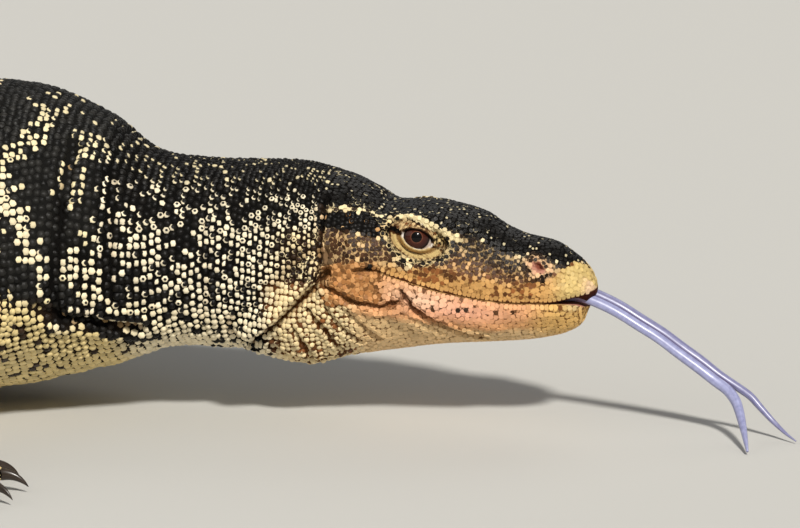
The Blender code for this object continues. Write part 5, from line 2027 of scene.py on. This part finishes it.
            corner = (self.patch_edge + apart * (number * 5 + toe), low)
            groups.append(self.on_tube(surface, length, Part.TOE, limb.length, corner))
        return groups

    def pieces(self) -> Iterator[tuple[str, str, Seeds]]:
        """The name, the slot and the scales of each piece: the jaw, the body from snout to tail, each leg."""
        seeds, along, jaw = self.on_body()
        yield "scales_jaw", "jaw_skin", seeds.chosen(jaw)
        rest = np.flatnonzero(~jaw)
        rest = rest[np.argsort(along[rest], kind="stable")]
        for number in range(math.ceil(len(rest) / self.largest_piece)):
            group = rest[number * self.largest_piece : (number + 1) * self.largest_piece]
            yield f"scales_body_{number + 1}", "skin", seeds.chosen(group)
        for number, limb in enumerate(self.limbs):
            yield f"scales_{limb.name}", "skin", Seeds.joined(self.on_limb(limb, number))

    def build(self, name: str, seeds: Seeds) -> bpy.types.Object:
        """Makes one piece of the coat.

        Args:
            name: the piece's name.
            seeds: its scales.

        Returns:
            A mesh where each scale has a centre, a raised ring and a rim that lies just under the skin.
        """
        cell = np.round(seeds.points * 20000).astype(np.int64)
        turn = np.arange(SIDES) * math.pi / 3
        normal = np.cross(seeds.ahead, seeds.across)
        plate = seeds.marks.plate
        wobble = 1 + 0.20 * (np.stack([chance(cell + k, 51) for k in range(SIDES)], axis=1) - 0.5)
        reach = (self.bead_fill + (self.plate_fill - self.bead_fill) * plate)[:, None] * wobble
        square = ENDS * seeds.squareness[:, None]
        x = np.cos(turn) * reach * (1 - 0.22 * square)
        y = np.sin(turn) * reach
        ring = seeds.ahead[:, None] * (x * seeds.size[:, None])[..., None]
        ring = ring + seeds.across[:, None] * (y * seeds.size[:, None])[..., None]
        lift = (0.75 + 0.5 * chance(cell, 52)) * seeds.height * (1 - self.plate_flatness * plate)
        inner = (self.bead_middle + (self.plate_middle - self.bead_middle) * plate)[:, None, None]
        shoulder = lift * (0.72 + 0.06 * plate)
        lean = (chance(cell, 53) - 0.5)[:, None] * x + (chance(cell, 54) - 0.5)[:, None] * y
        lean = self.tilt * seeds.size[:, None] * lean
        centre = seeds.points + normal * lift[:, None]
        raised = normal[:, None] * (shoulder[:, None] + lean)[..., None]
        middle = seeds.points[:, None] + ring * inner + raised
        rim = seeds.points[:, None] + ring - normal[:, None] * self.rim_sink
        points = np.concatenate([centre[:, None], middle, rim], axis=1)
        spokes = np.stack([np.cos(turn), np.sin(turn)], axis=1)
        star = np.concatenate([np.zeros((1, 2)), spokes * 0.6, spokes])
        patches = seeds.patch[:, None] + star * self.patch_size
        faces = (self.scale_faces()[None] + CORNERS * np.arange(len(points))[:, None, None]).reshape(-1, 3)
        paint = self.painted(seeds, cell)
        piece = make_piece(name, points.reshape(-1, 3), [faces], paint, patches.reshape(-1, 2))
        self.crisp(piece.data, plate > 0.5)
        return piece

    @staticmethod
    def scale_faces() -> Array:
        """The triangles of one scale: a fan in its middle and a skirt between its two rings."""
        k = np.arange(SIDES)
        after = (k + 1) % SIDES
        top, top_after, low, low_after = 1 + k, 1 + after, 1 + SIDES + k, 1 + SIDES + after
        corners = ((np.zeros(SIDES, int), top, top_after), (top, low, low_after), (top, low_after, top_after))
        return np.concatenate([np.stack(three, axis=1) for three in corners])

    @staticmethod
    def crisp(mesh: bpy.types.Mesh, flat: Array) -> None:
        """Marks the edges round the top of the chosen scales as sharp, so that they are shaded as plates."""
        ends = np.empty(len(mesh.edges) * 2, np.int32)
        mesh.edges.foreach_get("vertices", ends)
        ends = ends.reshape(-1, 2)
        place = ends % CORNERS
        sharp = ((place > 0) & (place <= SIDES)).all(axis=1) & flat[ends[:, 0] // CORNERS]
        layer = mesh.attributes.get("sharp_edge") or mesh.attributes.new("sharp_edge", "BOOLEAN", "EDGE")
        layer.data.foreach_set("value", sharp)

    def painted(self, seeds: Seeds, cell: Array) -> Paint:
        """The paint of each scale's thirteen points.

        Args:
            seeds: the scales.
            cell: whole numbers that pick each scale's own chances.

        Returns:
            The pattern is high in the middle of a pale scale, low in the middle and in front of one that is
            open, high at the rim of a netted one, and low all over a dark one.
        """
        marks, count = seeds.marks, len(cell)
        cluster = noise(seeds.points, 0.0085, 61) - 0.5
        loose = 0.8 * np.sqrt(np.clip(1 - np.abs(2 * marks.pale - 1), 0, 1))
        pale = marks.pale + loose * cluster > chance(cell, 62)
        netted = ~pale & (marks.net > chance(cell, 66))
        opened = pale & (marks.centre > chance(cell, 65))
        ragged = np.stack([chance(cell + 7 * k, 69) for k in range(SIDES)], axis=1) - 0.5
        bare = np.clip(1 - marks.rim, 0, 1)
        size = 0.46 + 0.46 * chance(cell, 67)
        narrow = ragged - 0.85 * ENDS
        frayed = 0.75 * marks.rim + 0.55 * marks.net
        rise = (size + 0.9 * bare - marks.plate * frayed)[:, None] + 0.5 * narrow * marks.rim[:, None]
        edge = np.repeat(0.9 * bare[:, None] ** 2, SIDES, axis=1)
        whole = np.concatenate([np.full((count, 1), 1.25), rise, edge], axis=1)
        ring = np.array([-0.5, 0.30, 0.95, 1.10, 0.95, 0.30])
        down = np.where(seeds.across[:, 2] > 0, -1.0, 1.0)[:, None]
        down = down * np.array([0.0, 1.0, 1.0, 0.0, -1.0, -1.0])
        thin = 0.35 * (chance(cell, 68) - 0.6)[:, None]
        thin = thin + 0.30 * marks.slim[:, None]
        closed = (chance(cell, 70) < 0.35 * (1 - marks.slim))[:, None]
        arc = np.where(closed, 1.05, ring + 0.25 * down - thin) + 0.35 * ragged
        crescent = np.concatenate([np.where(closed, -0.35, -0.95), arc, np.zeros((count, SIDES))], axis=1)
        web = 0.20 + 0.20 * marks.plate[:, None] + 0.35 * ragged
        net = np.concatenate([np.zeros((count, 1)), web, np.full((count, SIDES), 0.85)], axis=1)
        pattern = np.zeros((count, CORNERS))
        for which, shape in ((pale, whole), (opened, crescent), (netted, net)):
            pattern = np.where(which[:, None], shape, pattern)
        tone = (0.80 + 0.32 * chance(cell, 63))[:, None]
        deep = (0.5 + 1.3 * chance(cell, 64))[:, None]
        colours = (marks.bright * tone, marks.dark * deep)
        return Paint(*(np.repeat(colour, CORNERS, axis=0) for colour in colours), pattern.ravel())


@dataclass
class EyeBall:
    """One eye: a smooth ball that knows how far each point is from the middle of the pupil."""

    eye: Eye
    rings: int = 64
    columns: int = 56
    clearance: float = 0.0001
    cornea_height: float = 0.0006
    cornea_reach: float = 0.0046

    def build(self, name: str) -> bpy.types.Object:
        """Makes the ball, with a clear bulge over the pupil."""
        polar = np.linspace(0, math.pi, self.rings)[:, None]
        turn = np.arange(self.columns) * 2 * math.pi / self.columns
        radius = self.eye.radius - self.clearance
        aside = np.where(polar < math.pi / 2, np.sin(polar), 1.0) * radius
        cornea = self.cornea_height * np.clip(1 - (aside / self.cornea_reach) ** 2, 0, 1) ** 2
        points = self.eye.centre + (radius + cornea)[..., None] * (
            (np.sin(polar) * np.cos(turn))[..., None] * self.eye.front
            + (np.sin(polar) * np.sin(turn))[..., None] * self.eye.above
            + (np.cos(polar) * np.ones(self.columns))[..., None] * self.eye.gaze
        )
        piece = make_piece(name, points.reshape(-1, 3), [grid_faces(self.rings, self.columns)])
        keep_layer(piece.data, "Away", "FLOAT", aside * np.ones(self.columns))
        return welded(piece)


@dataclass
class Tongue:
    """The forked tongue: two long lobes side by side, rolled towards its right, that part into the tines."""

    body: Body
    stem: tuple[tuple[float, float, float], ...] = (
        (-0.0220, 0.0046, 0.0602), (-0.0098, 0.0018, 0.0616), (-0.0036, 0.0002, 0.0605),
        (0.0032, -0.0013, 0.0580), (0.0099, -0.0030, 0.0548), (0.0188, -0.0052, 0.0495),
        (0.0278, -0.0070, 0.0441), (0.0368, -0.0088, 0.0376), (0.0457, -0.0110, 0.0314),
        (0.0530, -0.0134, 0.0261),
    )
    near: tuple[tuple[float, float, float], ...] = (
        (0.0586, -0.0185, 0.0205), (0.0618, -0.0240, 0.0158), (0.0632, -0.0320, 0.0108),
        (0.0640, -0.0420, 0.0062), (0.0645, -0.0530, 0.0018),
    )
    far: tuple[tuple[float, float, float], ...] = (
        (0.0634, -0.0155, 0.0214), (0.0680, -0.0175, 0.0184), (0.0724, -0.0200, 0.0138),
        (0.0792, -0.0240, 0.0070), (0.0840, -0.0290, 0.0034), (0.0876, -0.0330, 0.0014),
    )
    near_width: Pairs = (
        (0, 0.0022), (0.16, 0.0026), (0.30, 0.0025), (0.56, 0.0026), (0.66, 0.0026), (0.78, 0.0022),
        (0.92, 0.0013), (1, 0.0006),
    )
    far_width: Pairs = (
        (0, 0.0022), (0.16, 0.0026), (0.30, 0.0025), (0.54, 0.0025), (0.66, 0.0021), (0.80, 0.0017),
        (0.93, 0.0009), (1, 0.0003),
    )
    offset: float = 0.0018
    roll: float = 0.75
    rings: int = 90
    sides: int = 36
    lowest: float = 0.0004
    # Painted shade over the whole far lobe.
    far_shade: float = 0.42

    def build(self, name: str) -> bpy.types.Object:
        """Makes both lobes as one mesh."""
        snout, stem = self.body.place(0.0, 0.0, 0.0), np.array(self.stem)
        across, _ = cross_axes(stem, self.roll)
        share = np.linspace(0, 1, self.rings)
        shell, shades = Shell(), []
        for side, tine, widths in ((-1, self.near, self.near_width), (1, self.far, self.far_width)):
            corners = np.concatenate([stem + across * self.offset * side, tine])
            path = smooth_line(snout + corners, self.rings)
            width = Curve(widths)(share)
            height = width * (0.86 - 0.10 * bump(share, 0.35, 0.25))
            points, faces = tube(path, width, height, self.sides, self.lowest, self.roll)
            shell.add(points, None, faces)
            shades.append(self.shade(side, share))
        piece = shell.made(name)
        keep_layer(piece.data, "Shade", "FLOAT", np.concatenate(shades))
        return welded(piece)

    def shade(self, side: int, share: Array) -> Array:
        """How dark each point of a lobe is: painted shade towards the other lobe, below and over all of the
        far lobe, and fine streaks.
        """
        turn = (np.arange(self.sides) + 0.5) * 2 * math.pi / self.sides
        # Painted shade: darker towards the other lobe, on the underside and over the whole far lobe.
        inner = smooth(np.sin(turn) * -side, 0.45, 0.95)[None] * smooth(share, 0.74, 0.66)[:, None]
        shade = inner + 0.55 * smooth(np.cos(turn), 0.1, -0.7)[None] + (self.far_shade if side > 0 else 0.0)
        streak = np.sin(7 * turn + 1.1 * np.sin(9 * share[:, None]))
        streak = streak + 0.6 * np.sin(11 * turn + 5 * share[:, None])
        shade = np.clip(np.clip(shade, 0, 1) + 0.15 * streak, 0, 1)
        return np.concatenate([shade[:1], shade, shade[-1:]]).ravel()


@dataclass
class Claws:
    """The five curved claws of one foot."""

    limb: Limb
    steps: int = 15
    sunk: float = 0.0012
    reach: float = 0.94
    flatness: float = 0.72
    blunt: float = 0.02
    sides: int = 12
    lowest: float = 0.0005

    def build(self, name: str) -> bpy.types.Object:
        """Makes the claws as one mesh, each along a line that curls down from the end of its toe."""
        limb, shell = self.limb, Shell()
        bend = np.concatenate([[0, 0], np.linspace(0, 1, self.steps)[1:]])
        pitch = -np.radians(limb.claw_curl) * bend[:-1]
        step = np.full(len(pitch), limb.claw_length / (len(bend) - 2) * self.reach)
        step[0] = limb.claw_straight
        run = np.concatenate([[-self.sunk], -self.sunk + np.cumsum(np.cos(pitch) * step)])
        drop = np.concatenate([[0], np.cumsum(np.sin(pitch) * step)])
        radius = limb.claw_base * np.maximum(1 - bend, self.blunt) ** 0.75
        for number in range(5):
            line, ahead = limb.toe_path(number)
            path = line[-1] + ahead * run[:, None]
            path[:, 2] += drop
            points, faces = tube(path, radius * self.flatness, radius, self.sides, lowest=self.lowest)
            shell.add(points, None, faces)
        return welded(shell.made(name))


@dataclass(frozen=True)
class Studio:
    """A pale floor, soft light and the camera at the photograph's angle."""

    snout: Array
    elevation: float = 12.0
    distance: float = 2.2
    pixel: float = 0.00045
    wide: int = 800
    snout_right: float = 198.0
    snout_down: float = 19.0
    lamps: tuple[tuple[str, float, float, float, float], ...] = (
        ("key", 16.0, 44.0, 7.0, 3.75),
        ("fill", -75.0, 30.0, 40.0, 0.40),
        ("rim", 165.0, 42.0, 30.0, 0.35),
    )
    sunlight: tuple[float, float, float] = (1.0, 0.965, 0.90)
    sky: tuple[float, float, float, float] = (0.93, 0.96, 1.0, 1.0)
    sky_power: float = 0.22
    floor_reach: float = 30.0

    def floor(self) -> bpy.types.Object:
        """Makes the floor."""
        reach = self.floor_reach
        points = np.array(((-reach, -reach, 0), (reach, -reach, 0), (reach, reach, 0), (-reach, reach, 0)))
        piece = make_piece("floor", points, [np.array([[0, 1, 2, 3]])])
        graph = Graph("floor_pale")
        graph.fix(Base_Color=graph.colour(196, 195, 191), Roughness=0.9)
        piece.data.materials.append(graph.material)
        return piece

    def light(self) -> None:
        """Makes far soft lamps in front and behind, which light the whole floor evenly, and a pale sky."""
        for name, turn, rise, spread_angle, power in self.lamps:
            lamp = bpy.data.lights.new(name, "SUN")
            lamp.angle, lamp.energy = math.radians(spread_angle), power
            lamp.color = self.sunlight
            made = bpy.data.objects.new(name, lamp)
            a, e = math.radians(turn), math.radians(rise)
            towards = Vector((math.sin(a) * math.cos(e), -math.cos(a) * math.cos(e), math.sin(e)))
            made.location = towards * 3.0
            made.rotation_mode = "QUATERNION"
            made.rotation_quaternion = (-towards).to_track_quat("-Z", "Y")
            bpy.context.scene.collection.objects.link(made)
        world = bpy.data.worlds.new("sky")
        world.use_nodes = True
        back = next(node for node in world.node_tree.nodes if node.type == "BACKGROUND")
        back.inputs[0].default_value = self.sky
        back.inputs[1].default_value = self.sky_power
        bpy.context.scene.world = world
        bpy.context.scene.view_settings.view_transform = "Standard"

    def camera(self) -> None:
        """Makes the camera, so that one pixel at the snout is the photograph's pixel."""
        tilt = math.radians(self.elevation)
        ahead = np.array((0.0, math.cos(tilt), -math.sin(tilt)))
        right = np.array((1.0, 0.0, 0.0))
        up = np.cross(right, ahead)
        made = bpy.data.objects.new("camera", bpy.data.cameras.new("camera"))
        side, rise = right * self.snout_right * self.pixel, up * self.snout_down * self.pixel
        made.location = self.snout - ahead * self.distance - side + rise
        made.rotation_mode = "QUATERNION"
        made.rotation_quaternion = Vector(ahead).to_track_quat("-Z", "Y")
        made.data.lens = self.distance / self.pixel * made.data.sensor_width / self.wide
        made.data.clip_end = 100
        bpy.context.scene.collection.objects.link(made)
        bpy.context.scene.camera = made


LIMBS = (
    (
        "right_front", 0.262, -1, True,
        ((0, 0.038, 0.072), (-0.078, 0.116, 0.056), (-0.048, 0.158, 0.021), (-0.020, 0.170, 0.0085)),
    ),
    (
        "left_front", 0.262, 1, True,
        ((0, 0.038, 0.072), (-0.064, 0.120, 0.056), (-0.026, 0.160, 0.021), (0.004, 0.167, 0.0085)),
    ),
    (
        "right_hind", 0.715, -1, False,
        ((0, 0.030, 0.062), (0.074, 0.138, 0.056), (0.012, 0.186, 0.025), (0.047, 0.222, 0.0090)),
    ),
    (
        "left_hind", 0.715, 1, False,
        ((0, 0.030, 0.062), (0.060, 0.142, 0.056), (-0.006, 0.182, 0.025), (0.026, 0.221, 0.0090)),
    ),
)


def finished(piece: bpy.types.Object, material: bpy.types.Material, slot: str) -> bpy.types.Object:
    """Gives a piece its material, fixes it to the body and reports it."""
    piece.data.materials.append(material)
    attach(piece, "root")
    log.info("%s: %d faces", piece.name, len(piece.data.polygons))
    return piece


def main() -> None:
    """Builds the animal from the inside out, then the studio, and logs each piece's number of faces."""
    logging.basicConfig(level=logging.INFO, format="%(message)s")
    body = Body()
    limbs = [Limb(*row, body=body) for row in LIMBS]
    head = Head(body)
    markings = Markings(head)
    body.blends = limbs

    flesh = ["head", "lower_jaw", "neck", "chest", "belly", "pelvis"] + [f"tail_{n}" for n in range(1, 6)]
    for limb in limbs:
        names = ("upper_arm", "forearm", "hand") if limb.front else ("thigh", "shank", "foot")
        flesh += [f"{limb.name}_{part}" for part in names]
    skin = finished(Skin(head, limbs, markings).build(), Hide("skin_bare", 0.75, 0.06).material(), "skin")
    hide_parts(*flesh)

    scales = Hide("scales", 0.33, 0.17).material()
    coat = Coat(head, limbs, markings)
    for name, slot, seeds in coat.pieces():
        finished(coat.build(name, seeds), scales, slot)

    iris = Iris().material()
    for eye in head.eyes:
        side = "left" if eye.side > 0 else "right"
        ball = finished(EyeBall(eye).build(f"ball_{side}"), iris, "eye")
        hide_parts(f"eye_{side}")
    tongue = finished(Tongue(body).build("tongue_forked"), Wet().material(), "tongue")
    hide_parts("tongue")
    horn = Horn().material()
    for limb in limbs:
        claws = finished(Claws(limb).build(f"claws_{limb.name}"), horn, "claw")
        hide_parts(*(f"{limb.name}_claw_{n}" for n in range(1, 6)))

    studio = Studio(body.place(0.0, 0.0, 0.0665))
    studio.floor()
    studio.light()
    studio.camera()


if __name__ == "__main__":
    main()
